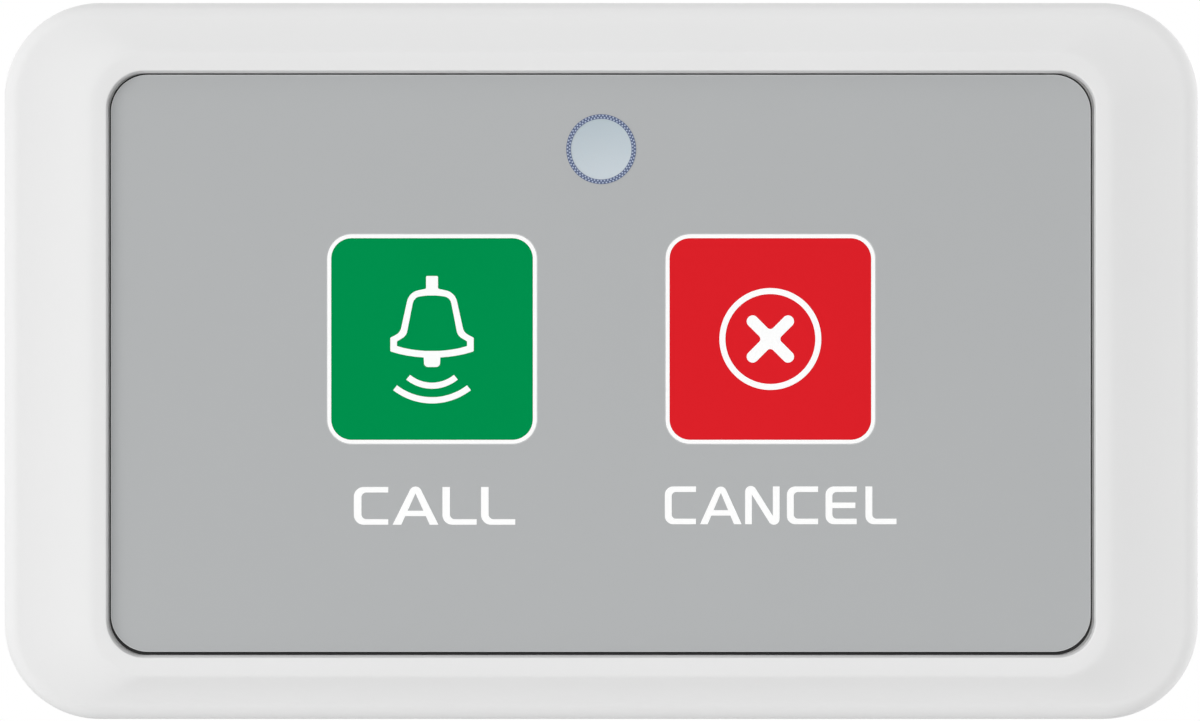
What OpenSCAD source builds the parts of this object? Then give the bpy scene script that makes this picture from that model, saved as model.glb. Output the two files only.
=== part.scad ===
// Wall-mounted two-key call unit. A housing with a raised rim carries a printed panel, two flush
// keys over snap-dome switches and a round indicator window. A coin cell sits behind a bayonet cap.
// The wall face lies on y = 0 round the origin, z points up and the keys face -y.

/* [Housing] */
// Width across the housing
housing_w = 90; // [86:1:104]
// Height of the housing
housing_h = 54; // [52:1:66]
// Radius of the housing's corners, seen from the front
corner_r = 7.2; // [6.4:0.2:9]
// Thickness of the side walls
wall_t = 2; // [1.6:0.1:2.4]
// Radius that rounds the front's outer edge
edge_r = 1.2; // [0.8:0.1:1.6]
// Thickness of the plate that the keys and the panel sit in
web_t = 1.5; // [1.2:0.1:2.2]

/* [Rim and recess] */
// Width of the recess at the rim
recess_w = 74.55; // [71:0.05:78]
// Height of the recess at the rim
recess_h = 44.2; // [42:0.1:45]
// Radius of the recess's corners at the rim
recess_r = 2.85; // [2:0.05:4]
// How far the recess lies below the housing's middle
recess_drop = 0.2; // [0:0.1:0.6]
// How far the recess's wall leans in from the rim to the floor
recess_draft = 0.2; // [0.1:0.05:0.4]
// Height of the rim above the panel
rim_h = 0.65; // [0.4:0.05:1.6]
// Width of the rim's flat top
rim_w = 1.2; // [0.8:0.1:1.6]
// Height of the rim above the housing's outer edge
crown_drop = 0.8; // [0.4:0.05:1]

/* [Panel] */
// Thickness of the printed panel
panel_t = 0.5; // [0.3:0.05:0.8]
// Thickness of the adhesive under the panel
adhesive_t = 0.15; // [0.1:0.05:0.3]
// Gap between the panel and the foot of the recess's wall
panel_gap = 0.15; // [0.05:0.05:0.2]
// How much rounder the panel's corners are than its pocket's
panel_ease = 0.3; // [0:0.05:0.6]
// How far the panel lies up and to the left in its pocket
panel_play = 0.03; // [0:0.01:0.04]

/* [Keys] */
// Width and height of a key with its border
key_w = 15.8; // [14:0.1:18]
// Radius of the border's corners
key_r = 1.85; // [1.4:0.05:2.6]
// Width of the bending border round a key
border_w = 0.3; // [0.25:0.05:0.5]
// Distance between the middles of the two keys
key_pitch = 25.5; // [22:0.5:32]
// Height of the keys' middles above the housing's middle
key_rise = 1.66; // [0:0.01:3]
// How far a key is pressed in
key_travel = 0.3; // [0.2:0.05:0.4]
// How far a key's flange reaches under the web
flange_reach = 0.6; // [0.4:0.1:1]
// Thickness of a key's flange
flange_t = 0.8; // [0.6:0.1:1.2]

/* [Indicator] */
// Diameter of the indicator window
lens_d = 4.7; // [3.6:0.1:6]
// Height of the window's middle above the housing's middle
lens_rise = 15.97; // [14.5:0.01:16.5]
// How far the light guide's collar stands out
collar_reach = 0.95; // [0.6:0.05:1.2]
// Thickness of the light guide's collar
collar_t = 0.8; // [0.6:0.1:1]

/* [Battery] */
// Diameter of the coin cell
cell_d = 24.5; // [20:0.1:26]
// Thickness of the coin cell
cell_t = 5; // [3.2:0.1:5.4]
// Thickness of the cap's disc
cap_t = 1.2; // [1:0.1:1.6]
// How far the cap lies below the wall face
cap_sink = 0.3; // [0.2:0.05:0.6]
// How far the cap turns to open
cap_turn = 35; // [30:1:45]
// Number of bayonet lugs
lug_count = 3; // [2:1:4]

/* [Circuit board] */
// Thickness of the circuit board
board_t = 1.6; // [1:0.1:2]
// Width and length of a switch's body
switch_w = 6.2; // [5:0.1:7]
// Height of a switch's body
switch_h = 1.8; // [1.6:0.1:2.4]
// How far a switch's stem stands out of its body
stem_proud = 0.7; // [0.5:0.05:1]

/* [Rear cover] */
// Thickness of the rear cover's plate
cover_t = 1.8; // [1.6:0.1:2.2]
// How far the cover's edge lies inside the housing's edge
cover_inset = 0.6; // [0.4:0.1:0.8]
// Distance between the two keyholes
keyhole_pitch = 60; // [56:1:62]
// Diameter of a keyhole's entry, for the head of the wall screw
keyhole_d = 8.2; // [7:0.1:8.6]
// Width of a keyhole's slot, for the shank of the wall screw
slot_w = 4.2; // [3.4:0.1:4.6]
// Distance that the unit drops onto the wall screws
slot_drop = 7; // [6:0.5:9]
// Depth behind the plate for the wall screw's head
head_room = 2.8; // [2.4:0.1:3]

/* [Screws] */
// Diameter of the housing screws
screw_d = 2.2; // [2:0.1:2.6]
// Diameter of the housing screws' heads
screw_head_d = 4.4; // [4:0.1:4.8]
// Diameter of the board screws
board_screw_d = 2; // [1.6:0.1:2.2]
// Diameter of the board screws' heads
board_screw_head_d = 3.8; // [3.4:0.1:4]

/* [Hidden] */
$fn = 64;

// Sides of a pair: the call key's side is -1
CALL = -1;
CANCEL = 1;
SIDES = [CALL, CANCEL];

// How far a cut runs past the solid that it cuts
overrun = 0.5;
// Gap round pieces that slide or turn
slide_gap = 0.2;
// Gap round pieces that are placed and stay
seat_gap = 0.05;
// Gap beside the coin cell and under it
cell_gap = 0.3;
// Air between the web and the circuit board's screws, and at like blind ends
end_gap = 0.4;

// Width of the key's coloured film, its plunger head and its flange
film_inset = 0.02;
head_inset = 0.1;
film_w = key_w - 2 * border_w;
film_r = key_r - border_w;
flange_w = key_w + 2 * flange_reach;
// Height of the post that rests on the switch's stem, and its diameter
key_post_h = 0.3;
key_post_d = 4;
// How much smaller the adhesive under a key's film is
key_adhesive_inset = 0.3;

// Heights above the wall, stacked from the battery cap to the rim
cap_inner_z = cap_sink + cap_t;
cell_z = cap_inner_z + cell_gap;
cell_top_z = cell_z + cell_t;
contact_space = 0.7;
board_z = cell_top_z + contact_space;
board_top_z = board_z + board_t;
switch_top_z = board_top_z + switch_h;
stem_top_z = switch_top_z + stem_proud;
key_z = stem_top_z + key_post_h;
web_z = key_z + flange_t;
web_top_z = web_z + web_t;
panel_z = web_top_z + adhesive_t;
panel_top_z = panel_z + panel_t;
rim_z = panel_top_z + rim_h;
crown_z = rim_z - crown_drop;
edge_z = crown_z - edge_r;

// The housing's inside
cavity_w = housing_w - 2 * wall_t;
cavity_h = housing_h - 2 * wall_t;
cavity_r = corner_r - wall_t;
// Depth of the hollow under the rim, and the wall left beside the recess
hollow_h = 1;
hollow_wall = 1.6;

// The recess's foot and the panel that lies in it
recess_foot_w = recess_w - 2 * recess_draft;
recess_foot_h = recess_h - 2 * recess_draft;
recess_foot_r = recess_r - recess_draft;
panel_w = recess_foot_w - 2 * panel_gap;
panel_h = recess_foot_h - 2 * panel_gap;
panel_r = recess_foot_r - panel_gap + panel_ease;
panel_adhesive_inset = 0.3;
// Radius that rounds the rim's inner edge
lip_r = 0.1;

// Points on the rim's section: steps of a corner, of the outer round, of the crown and of the lip
CORNER_STEPS = 10;
ROUND_STEPS = 5;
CROWN_STEPS = 9;
LIP_STEPS = 3;
// Share of the crown's full slope that it starts with
crown_start_share = 0.35;
// Power with which the crown's slope dies at the rim
crown_end_power = 6;

// The rear cover's lip inside the housing
lip_t = 1;
lip_h = 2.4;
lip_gap = 0.15;
lip_outer_w = cavity_w - 2 * lip_gap;
lip_outer_h = cavity_h - 2 * lip_gap;
lip_outer_r = cavity_r - lip_gap;
lip_inner_r = lip_outer_r - lip_t;
// The seal's groove in the cover's edge
seal_w = 0.6;
seal_h = 0.6;
groove_inset = 1.1;

// Housing screws and their bosses, each tucked into a corner beside the lip
boss_d = 6;
boss_clear = 0.35;
boss_shift = (lip_inner_r - boss_clear - boss_d / 2) / sqrt(2);
boss_x = cavity_w / 2 - cavity_r + boss_shift;
boss_y = cavity_h / 2 - cavity_r + boss_shift;
screw_sink = 0.5;
screw_head_t = 1.5;
screw_l = 8;
screw_seat_z = screw_sink + screw_head_t;
screw_seat_t = 1.6;
boss_z = screw_seat_z + screw_seat_t;
pocket_wall = 0.9;
// Cross recess of a screw head: arm length and width as shares of its width, depth of its height
cross_l_share = 0.62;
cross_w_share = 0.16;
cross_depth_share = 0.55;

// The circuit board, set in from the bosses and from the housing's inside
board_side_gap = 1.3;
board_end_gap = 5;
board_w = 2 * (boss_x - boss_d / 2 - board_side_gap);
board_h = cavity_h - 2 * board_end_gap;
board_r = 1;
// Board screws, in from the board's corners
board_screw_in = 3;
board_screw_x = board_w / 2 - board_screw_in;
board_screw_y = board_h / 2 - board_screw_in;
board_boss_d = 4.5;
board_screw_head_t = 1.2;

// The battery well and the cap's bayonet
cell_r = cell_d / 2;
hub_inner_r = cell_r + slide_gap;
hub_t = 0.95;
hub_r = hub_inner_r + hub_t;
hub_h = 2.3;
hub_top_z = cap_inner_z + hub_h;
ledge_r = hub_r + slide_gap;
lug_reach = 0.9;
lug_r = ledge_r + lug_reach;
lug_t = 0.8;
lug_rise = 0.1;
lug_step = 0.1;
lug_top_z = hub_top_z - lug_step;
lug_arc = 20;
lug_slack = 2;
lug_at = 90;
chamber_r = lug_r + slide_gap;
well_t = 1.2;
well_r = chamber_r + well_t;
flange_lap = 1.3;
cap_r = ledge_r + flange_lap;
cap_pocket_r = cap_r + slide_gap;
o_ring_d = 0.6;
o_ring_inset = 0.35;
o_ring_r = cap_r - o_ring_inset - o_ring_d / 2;
ledge_z = cap_inner_z + o_ring_d;
ledge_top_z = lug_top_z - lug_t - lug_rise;
guide_r = cell_r + cell_gap;
guide_z = hub_top_z + slide_gap;
guide_top_z = board_z - contact_space + seat_gap;
stop_arc = 6;
stop_slack = 1;
// Coin slot across the cap, its depth and the round edge of the cap
coin_slot_l = 19;
coin_slot_w = 2.2;
coin_slot_depth = 0.7;
cap_chamfer = 0.25;
// Engraved index marks: a dot on the cap, and beside it a dot where it is locked, a ring where open
mark_d = 1.4;
mark_depth = 0.2;
mark_line = 0.35;
mark_gap = 1.4;
// The cell's crimped edge: its height, and how far the small face is set in
crimp_h = 0.7;
crimp_in = 0.9;
button_in = 1.8;
button_h = 0.2;

// Contact strips
contact_t = 0.3;
contact_w = 4;
contact_foot_l = 4;
contact_reach = 5;
contact_bend = 3;
contact_leg_h = 3.6;
contact_window = 5.6;

// Snap switch
dome_h = key_travel + seat_gap;
dome_t = 0.1;
switch_floor_t = 0.3;
switch_lid_t = 0.2;
switch_bore_d = 5;
dome_d = 4.8;
dome_flat_share = 0.5;
stem_d = 3.2;
stem_flange_d = 4.4;
stem_gap = 0.1;
dome_z = board_top_z + switch_floor_t;
stem_z = dome_z + dome_h + seat_gap;
switch_lid_z = switch_top_z - switch_lid_t;
tab_h = 1;
terminal_l = 1;
terminal_w = 0.8;
terminal_t = 0.2;
terminal_in = 0.85;

// Light-emitting diode under the light guide
led_w = 3.5;
led_h = 2.8;
led_t = 1.9;
led_cup_d = 2.4;
led_cup_floor_d = 1.6;
led_cup_depth = 0.7;
lens_gap = 0.2;
lens_z = board_top_z + led_t + lens_gap;

// Chip, radio and small components, on the board's lower part
chip_w = 6;
chip_h = 5;
chip_t = 1.5;
chip_lift = 0.1;
chip_x = -13;
lead_count = 8;
lead_pitch = 0.635;
lead_w = 0.3;
lead_l = 1;
lead_t = 0.15;
can_w = 12;
can_h = 8;
can_t = 1.8;
can_x = 4;
lower_row_in = 6.5;
lower_row_y = lower_row_in - board_h / 2;
crystal_w = 5;
crystal_h = 3.2;
crystal_t = 1.1;
crystal_x = -4.5;
part_w = 1.6;
part_h = 0.8;
part_t = 0.6;
part_pitch = 2.4;
part_count = 5;
antenna_w = 8;
antenna_end_gap = 8;
antenna_h = board_h - 2 * antenna_end_gap;
antenna_strip = 1.2;
antenna_t = 0.4;
antenna_lift = 1.4;
antenna_edge_gap = 1.6;

// Keyholes
keyhole_r = keyhole_d / 2;
slot_r = slot_w / 2;
head_gap = 0.3;
keyhole_wall = 1.2;
keyhole_roof_t = 0.8;
// Bare recess for a label on the back
label_w = 46;
label_h = 7;
label_r = 1;
label_depth = 0.3;
// Stiffening ribs inside the cover
rib_t = 1;
rib_h = 1.8;

cover_w = housing_w - 2 * cover_inset;
cover_h = housing_h - 2 * cover_inset;
cover_r = corner_r - cover_inset;
label_y = -(cap_pocket_r + cover_h / 2) / 2;

// Turns the drawing plane, seen from the front, upright against the wall
module upright() rotate([90, 0, 0]) children();

module rounded_rect(w, h, r) {
    square([w - 2 * r, h], center = true);
    square([w, h - 2 * r], center = true);
    for (x = SIDES, y = SIDES)
        translate([x * (w / 2 - r), y * (h / 2 - r)]) circle(r);
}

module rounded_slab(w, h, r, z, top_z) translate([0, 0, z])
    linear_extrude(top_z - z) rounded_rect(w, h, r);

module disc(r, z, top_z) translate([0, 0, z]) cylinder(r = r, h = top_z - z);

// Part of a ring, from an inner to an outer radius, centred on an angle
module sector(r1, r2, z, top_z, angle, arc) rotate(angle - arc / 2)
    rotate_extrude(angle = arc) translate([r1, z]) square([r2 - r1, top_z - z]);

// A slot's outline: a circle at the entry, swept upwards
module slot_outline(r, length) {
    circle(r);
    translate([-r, 0]) square([2 * r, length]);
    translate([0, length]) circle(r);
}

module at_screws(x, y) for (sx = SIDES, sy = SIDES) translate([sx * x, sy * y]) children();

module at_key(side) translate([side * key_pitch / 2, key_rise]) children();

module at_lens() translate([0, lens_rise]) children();

module in_recess() translate([0, -recess_drop]) children();

module in_pocket() in_recess() translate([-panel_play, panel_play]) children();

// Points of a rounded rectangle's outline at one height, counter-clockwise seen from the front
function outline(w, h, r, down, z) = [
    for (corner = [0:3], step = [0:CORNER_STEPS])
        let (
            a = 90 * (corner + step / CORNER_STEPS),
            sx = corner == 0 || corner == 3 ? 1 : -1,
            sy = corner < 2 ? 1 : -1
        )
        [sx * (w / 2 - r) + r * cos(a), sy * (h / 2 - r) + r * sin(a) - down, z]
];

function between(a, b, share) = a + (b - a) * share;

// Height share of the crown at a share of its width: its slope grows inwards and dies at the rim
function crown_sum(s) = crown_start_share * s + s * s / 2
    - crown_start_share * pow(s, crown_end_power + 1) / (crown_end_power + 1)
    - pow(s, crown_end_power + 2) / (crown_end_power + 2);
function crown_rise(s) = crown_sum(s) / crown_sum(1);

// Rings up the housing's outside: the side wall, its round edge, the crown, the rim's flat top, the
// round lip and the recess's wall down to its foot
front_rings = [
    outline(housing_w, housing_h, corner_r, 0, cover_t),
    for (i = [0:ROUND_STEPS])
        let (a = 90 * i / ROUND_STEPS, in = edge_r * (1 - cos(a)))
        outline(housing_w - 2 * in, housing_h - 2 * in, corner_r - in, 0, edge_z + edge_r * sin(a)),
    for (i = [1:CROWN_STEPS])
        let (s = i / CROWN_STEPS)
        outline(
            between(housing_w - 2 * edge_r, recess_w + 2 * rim_w, s),
            between(housing_h - 2 * edge_r, recess_h + 2 * rim_w, s),
            between(corner_r - edge_r, recess_r + rim_w, s),
            recess_drop * s,
            crown_z + crown_drop * crown_rise(s)
        ),
    for (i = [0:LIP_STEPS])
        let (a = 90 * i / LIP_STEPS, out = lip_r * (1 - sin(a)))
        outline(
            recess_w + 2 * out, recess_h + 2 * out, recess_r + out, recess_drop,
            rim_z - lip_r * (1 - cos(a))
        ),
    outline(recess_foot_w, recess_foot_h, recess_foot_r, recess_drop, web_top_z)
];

// The outside of the front as one block: the rings, a flat back and the recess's floor
module front_block() {
    n = len(front_rings[0]);
    m = len(front_rings);
    polyhedron(
        [for (ring = front_rings, p = ring) p],
        [
            [for (i = [0:n - 1]) i],
            for (k = [0:m - 2], i = [0:n - 1])
                let (k2 = k + 1, i2 = (i + 1) % n)
                each [
                    [k * n + i, k2 * n + i, k2 * n + i2],
                    [k * n + i, k2 * n + i2, k * n + i2]
                ],
            [for (i = [n - 1:-1:0]) (m - 1) * n + i]
        ],
        convexity = 4
    );
}

module front_housing() color([0.91, 0.92, 0.92]) upright() {
    difference() {
        front_block();
        rounded_slab(cavity_w, cavity_h, cavity_r, cover_t - overrun, web_z);
        difference() {
            rounded_slab(cavity_w, cavity_h, cavity_r, web_z - overrun, web_z + hollow_h);
            in_recess() rounded_slab(
                recess_foot_w + 2 * hollow_wall, recess_foot_h + 2 * hollow_wall,
                recess_foot_r + hollow_wall, web_z - overrun, web_z + hollow_h + overrun
            );
        }
        for (side = SIDES) at_key(side)
            rounded_slab(key_w, key_w, key_r, web_z - overrun, web_top_z + overrun);
        at_lens() disc(lens_d / 2 + seat_gap, web_z - overrun, web_top_z + overrun);
    }
    at_screws(boss_x, boss_y) difference() {
        disc(boss_d / 2, boss_z, web_z + hollow_h + seat_gap);
        disc(screw_d / 2 + seat_gap, boss_z - overrun, screw_seat_z + screw_l + end_gap);
    }
    at_screws(board_screw_x, board_screw_y) difference() {
        disc(board_boss_d / 2, board_top_z, web_z + seat_gap);
        disc(board_screw_d / 2 + seat_gap, board_top_z - overrun, web_z - end_gap / 2);
    }
}

module keyhole_block() {
    translate([0, 0, cover_t - seat_gap]) linear_extrude(head_room + keyhole_roof_t + seat_gap)
        slot_outline(keyhole_r + head_gap + keyhole_wall, slot_drop);
}

module keyhole_cut() {
    translate([0, 0, cover_t]) linear_extrude(head_room)
        slot_outline(keyhole_r + head_gap, slot_drop);
    disc(keyhole_r, -overrun, cover_t + overrun / 2);
    translate([0, 0, -overrun]) linear_extrude(cover_t + 3 * overrun / 2)
        slot_outline(slot_r, slot_drop);
}

module well_cut() {
    disc(cap_pocket_r, -overrun, ledge_z);
    disc(ledge_r, ledge_z - overrun, ledge_top_z + overrun);
    disc(chamber_r, ledge_top_z, guide_z);
    disc(guide_r, guide_z - overrun, guide_top_z + overrun);
    for (i = [0:lug_count - 1])
        sector(
            ledge_r - overrun, lug_r + slide_gap / 2, ledge_z - overrun, ledge_top_z + overrun,
            lug_at + i * 360 / lug_count - cap_turn, lug_arc + 2 * lug_slack
        );
    translate([0, -contact_window / 2, guide_z])
        cube([chamber_r, contact_window, guide_top_z]);
}

module rear_cover() color([0.86, 0.87, 0.87]) upright() {
    difference() {
        union() {
            rounded_slab(cover_w, cover_h, cover_r, 0, cover_t);
            difference() {
                rounded_slab(lip_outer_w, lip_outer_h, lip_outer_r, cover_t - seat_gap, cover_t + lip_h);
                rounded_slab(
                    lip_outer_w - 2 * lip_t, lip_outer_h - 2 * lip_t, lip_inner_r,
                    cover_t - overrun, cover_t + lip_h + overrun
                );
            }
            disc(well_r, cover_t - seat_gap, guide_top_z);
            for (side = SIDES) translate([side * keyhole_pitch / 2, 0]) keyhole_block();
            at_screws(boss_x, boss_y)
                disc(screw_head_d / 2 + slide_gap + pocket_wall, cover_t - seat_gap, boss_z);
            translate([0, 0, cover_t - seat_gap]) linear_extrude(rib_h) {
                square([rib_t, lip_outer_h - lip_t], center = true);
                square([lip_outer_w - lip_t, rib_t], center = true);
            }
        }
        well_cut();
        for (side = SIDES) translate([side * keyhole_pitch / 2, 0]) keyhole_cut();
        at_screws(boss_x, boss_y) {
            disc(screw_head_d / 2 + slide_gap, -overrun, screw_seat_z);
            disc(screw_d / 2 + slide_gap, -overrun, boss_z + overrun);
        }
        translate([0, label_y]) rounded_slab(label_w, label_h, label_r, -overrun, label_depth);
        seal_ring(0, cover_t + overrun);
        rotate(lug_at) translate([cap_pocket_r + mark_gap, 0]) disc(mark_d / 2, -overrun, mark_depth);
        rotate(lug_at - cap_turn) translate([cap_pocket_r + mark_gap, 0]) difference() {
            disc(mark_d / 2, -overrun, mark_depth);
            disc(mark_d / 2 - mark_line, -2 * overrun, mark_depth + overrun);
        }
    }
    for (i = [0:lug_count - 1])
        sector(
            ledge_r + seat_gap, chamber_r + overrun, ledge_top_z - seat_gap, guide_z + seat_gap,
            lug_at + i * 360 / lug_count + lug_arc / 2 + stop_slack + stop_arc / 2, stop_arc
        );
}

// The ring that the seal and its groove share, grown sideways by a gap
module seal_ring(grow, top_z) difference() {
    rounded_slab(
        cover_w - 2 * (groove_inset - seal_w - grow), cover_h - 2 * (groove_inset - seal_w - grow),
        cover_r - (groove_inset - seal_w - grow), cover_t - seal_h, top_z
    );
    rounded_slab(
        cover_w - 2 * (groove_inset + grow), cover_h - 2 * (groove_inset + grow),
        cover_r - groove_inset - grow, cover_t - seal_h - overrun, top_z + overrun
    );
}

module housing_seal() color([0.2, 0.2, 0.21]) upright() seal_ring(0, cover_t);

// A cross-recess screw that points to +z, its head's underside at z = 0
module screw(d, head_d, head_t, length) {
    difference() {
        disc(head_d / 2, -head_t, 0);
        for (turn = [0, 90]) rotate(turn)
            translate([-cross_l_share * head_d / 2, -cross_w_share * head_d / 2, -head_t - overrun])
                cube([
                    cross_l_share * head_d, cross_w_share * head_d,
                    cross_depth_share * head_t + overrun
                ]);
    }
    disc(d / 2, -seat_gap, length);
}

module housing_screws() color([0.75, 0.76, 0.78]) upright()
    at_screws(boss_x, boss_y) translate([0, 0, screw_seat_z])
        screw(screw_d, screw_head_d, screw_head_t, screw_l);

module board_screws() color([0.75, 0.76, 0.78]) upright()
    at_screws(board_screw_x, board_screw_y) translate([0, 0, board_z])
        screw(board_screw_d, board_screw_head_d, board_screw_head_t, web_z - end_gap - board_z);

module panel_cuts(grow, z, top_z) {
    for (side = SIDES) at_key(side)
        rounded_slab(key_w + 2 * grow, key_w + 2 * grow, key_r + grow, z - overrun, top_z + overrun);
    at_lens() disc(lens_d / 2 + seat_gap + grow, z - overrun, top_z + overrun);
}

module panel_adhesive() color([0.12, 0.12, 0.12]) upright() difference() {
    in_pocket() rounded_slab(
        panel_w - 2 * panel_adhesive_inset, panel_h - 2 * panel_adhesive_inset,
        panel_r - panel_adhesive_inset, web_top_z, panel_z
    );
    panel_cuts(panel_adhesive_inset, web_top_z, panel_z);
}

module panel_overlay() color([0.7, 0.706, 0.71]) upright() difference() {
    in_pocket() rounded_slab(panel_w, panel_h, panel_r, panel_z, panel_top_z);
    panel_cuts(0, panel_z, panel_top_z);
}

// Clear light guide: a barrel with a collar behind the web
module indicator_lens() color([0.75, 0.79, 0.82, 0.8]) upright() at_lens() {
    disc(lens_d / 2, lens_z, panel_top_z);
    disc(lens_d / 2 + collar_reach, web_z - collar_t, web_z);
}

// Plunger plate: a head in the web's opening, a flange behind it and a post on the switch
module key_plate(side) upright() at_key(side) {
    rounded_slab(
        film_w - 2 * head_inset, film_w - 2 * head_inset, film_r - head_inset,
        web_z - seat_gap, web_top_z
    );
    rounded_slab(flange_w, flange_w, key_r + flange_reach, key_z, web_z);
    disc(key_post_d / 2, stem_top_z, key_z + seat_gap);
}

module key_adhesive(side) upright() at_key(side) rounded_slab(
    film_w - 2 * key_adhesive_inset, film_w - 2 * key_adhesive_inset,
    film_r - key_adhesive_inset, web_top_z, panel_z
);

module key_film(side) upright() at_key(side)
    rounded_slab(film_w, film_w, film_r, panel_z, panel_top_z);

// The border that bends when the key is pressed
module flexure(side) upright() at_key(side) difference() {
    rounded_slab(
        key_w - 2 * film_inset, key_w - 2 * film_inset, key_r - film_inset, panel_z, panel_top_z
    );
    rounded_slab(
        film_w + 2 * film_inset, film_w + 2 * film_inset, film_r + film_inset,
        panel_z - overrun, panel_top_z + overrun
    );
}

module call_key() color([0.93, 0.93, 0.92]) key_plate(CALL);
module call_key_adhesive() color([0.12, 0.12, 0.12]) key_adhesive(CALL);
module call_key_film() color([0.0, 0.56, 0.3]) key_film(CALL);
module call_flexure() color([0.97, 0.97, 0.97]) flexure(CALL);

module cancel_key() color([0.93, 0.93, 0.92]) key_plate(CANCEL);
module cancel_key_adhesive() color([0.12, 0.12, 0.12]) key_adhesive(CANCEL);
module cancel_key_film() color([0.86, 0.13, 0.16]) key_film(CANCEL);
module cancel_flexure() color([0.97, 0.97, 0.97]) flexure(CANCEL);

module circuit_board() color([0.08, 0.35, 0.2]) upright() difference() {
    rounded_slab(board_w, board_h, board_r, board_z, board_top_z);
    at_screws(board_screw_x, board_screw_y)
        disc(board_screw_d / 2 + seat_gap, board_z - overrun, board_top_z + overrun);
}

module switch_base(side) upright() at_key(side) difference() {
    translate([-switch_w / 2, -switch_w / 2 + switch_lid_t, board_top_z])
        cube([switch_w, switch_w - 2 * switch_lid_t, switch_lid_z - board_top_z]);
    disc(switch_bore_d / 2, dome_z, switch_top_z);
}

module switch_lid(side) upright() at_key(side) {
    difference() {
        translate([-switch_w / 2, -switch_w / 2, switch_lid_z]) cube([switch_w, switch_w, switch_lid_t]);
        disc(stem_d / 2 + stem_gap, switch_lid_z - overrun, switch_top_z + overrun);
    }
    for (y = [-switch_w / 2, switch_w / 2 - switch_lid_t])
        translate([-switch_w / 4, y, switch_lid_z - tab_h])
            cube([switch_w / 2, switch_lid_t, tab_h + seat_gap]);
}

// Snap dome: a shallow sheet-metal cap with a flat top
module switch_dome(side) upright() at_key(side) translate([0, 0, dome_z]) rotate_extrude()
    polygon([
        [0, dome_h - dome_t],
        [dome_flat_share * dome_d / 2, dome_h - dome_t],
        [dome_d / 2 - dome_t, 0],
        [dome_d / 2, 0],
        [dome_flat_share * dome_d / 2 + dome_t, dome_h],
        [0, dome_h]
    ]);

module switch_stem(side) upright() at_key(side) {
    disc(stem_flange_d / 2, stem_z, switch_lid_z - stem_gap);
    disc(stem_d / 2, switch_lid_z - stem_gap - seat_gap, stem_top_z);
}

module call_switch_base() color([0.12, 0.12, 0.13]) switch_base(CALL);
module call_switch_cover() color([0.75, 0.76, 0.78]) switch_lid(CALL);
module call_switch_dome() color([0.8, 0.8, 0.78]) switch_dome(CALL);
module call_switch_stem() color([0.15, 0.15, 0.16]) switch_stem(CALL);

module cancel_switch_base() color([0.12, 0.12, 0.13]) switch_base(CANCEL);
module cancel_switch_cover() color([0.75, 0.76, 0.78]) switch_lid(CANCEL);
module cancel_switch_dome() color([0.8, 0.8, 0.78]) switch_dome(CANCEL);
module cancel_switch_stem() color([0.15, 0.15, 0.16]) switch_stem(CANCEL);

module switch_terminals() color([0.8, 0.8, 0.78]) upright()
    for (side = SIDES, x = SIDES, y = SIDES) at_key(side)
        translate([
            x * (switch_w + terminal_l) / 2, y * (switch_w / 2 - terminal_in), board_top_z + terminal_t / 2
        ]) cube([terminal_l, terminal_w, terminal_t], center = true);

module indicator_led() color([0.95, 0.95, 0.9]) upright() at_lens() difference() {
    translate([-led_w / 2, -led_h / 2, board_top_z]) cube([led_w, led_h, led_t]);
    translate([0, 0, board_top_z + led_t - led_cup_depth])
        cylinder(d1 = led_cup_floor_d, d2 = led_cup_d, h = led_cup_depth);
}

module controller_chip() color([0.1, 0.1, 0.11]) upright()
    translate([chip_x, lower_row_y, board_top_z + chip_lift + chip_t / 2])
        cube([chip_w, chip_h, chip_t], center = true);

module chip_leads() color([0.8, 0.8, 0.78]) upright()
    for (i = [0:lead_count - 1], y = SIDES)
        translate([
            chip_x + (i - (lead_count - 1) / 2) * lead_pitch,
            lower_row_y + y * (chip_h + lead_l) / 2,
            board_top_z
        ]) {
            translate([-lead_w / 2, -lead_l / 2, 0]) cube([lead_w, lead_l, lead_t]);
            translate([-lead_w / 2, -y * (lead_l - lead_t) / 2 - lead_t / 2, 0])
                cube([lead_w, lead_t, chip_lift + chip_t / 2]);
        }

module transmitter_can() color([0.78, 0.79, 0.8]) upright()
    translate([can_x, lower_row_y - can_h / 2, board_top_z]) cube([can_w, can_h, can_t]);

module crystal_can() color([0.85, 0.84, 0.78]) upright()
    translate([crystal_x - crystal_w / 2, lower_row_y - crystal_h / 2, board_top_z])
        cube([crystal_w, crystal_h, crystal_t]);

// Stamped strip bent up from the board, open at its lower end
module antenna_loop() color([0.8, 0.72, 0.45]) upright()
    translate([board_w / 2 - antenna_edge_gap - antenna_w, -antenna_h / 2]) {
        translate([0, 0, board_top_z + antenna_lift]) linear_extrude(antenna_t) difference() {
            square([antenna_w, antenna_h]);
            translate([antenna_strip, -overrun])
                square([antenna_w - 2 * antenna_strip, antenna_h - antenna_strip + overrun]);
        }
        for (x = [0, antenna_w - antenna_strip])
            translate([x, 0, board_top_z]) cube([antenna_strip, antenna_t, antenna_lift + seat_gap]);
    }

module chip_components() color([0.62, 0.52, 0.4]) upright()
    for (side = SIDES, i = [0:part_count - 1])
        translate([
            side * (board_screw_x - board_boss_d), (i - (part_count - 1) / 2) * part_pitch,
            board_top_z + part_t / 2
        ]) cube([part_w, part_h, part_t], center = true);

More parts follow.
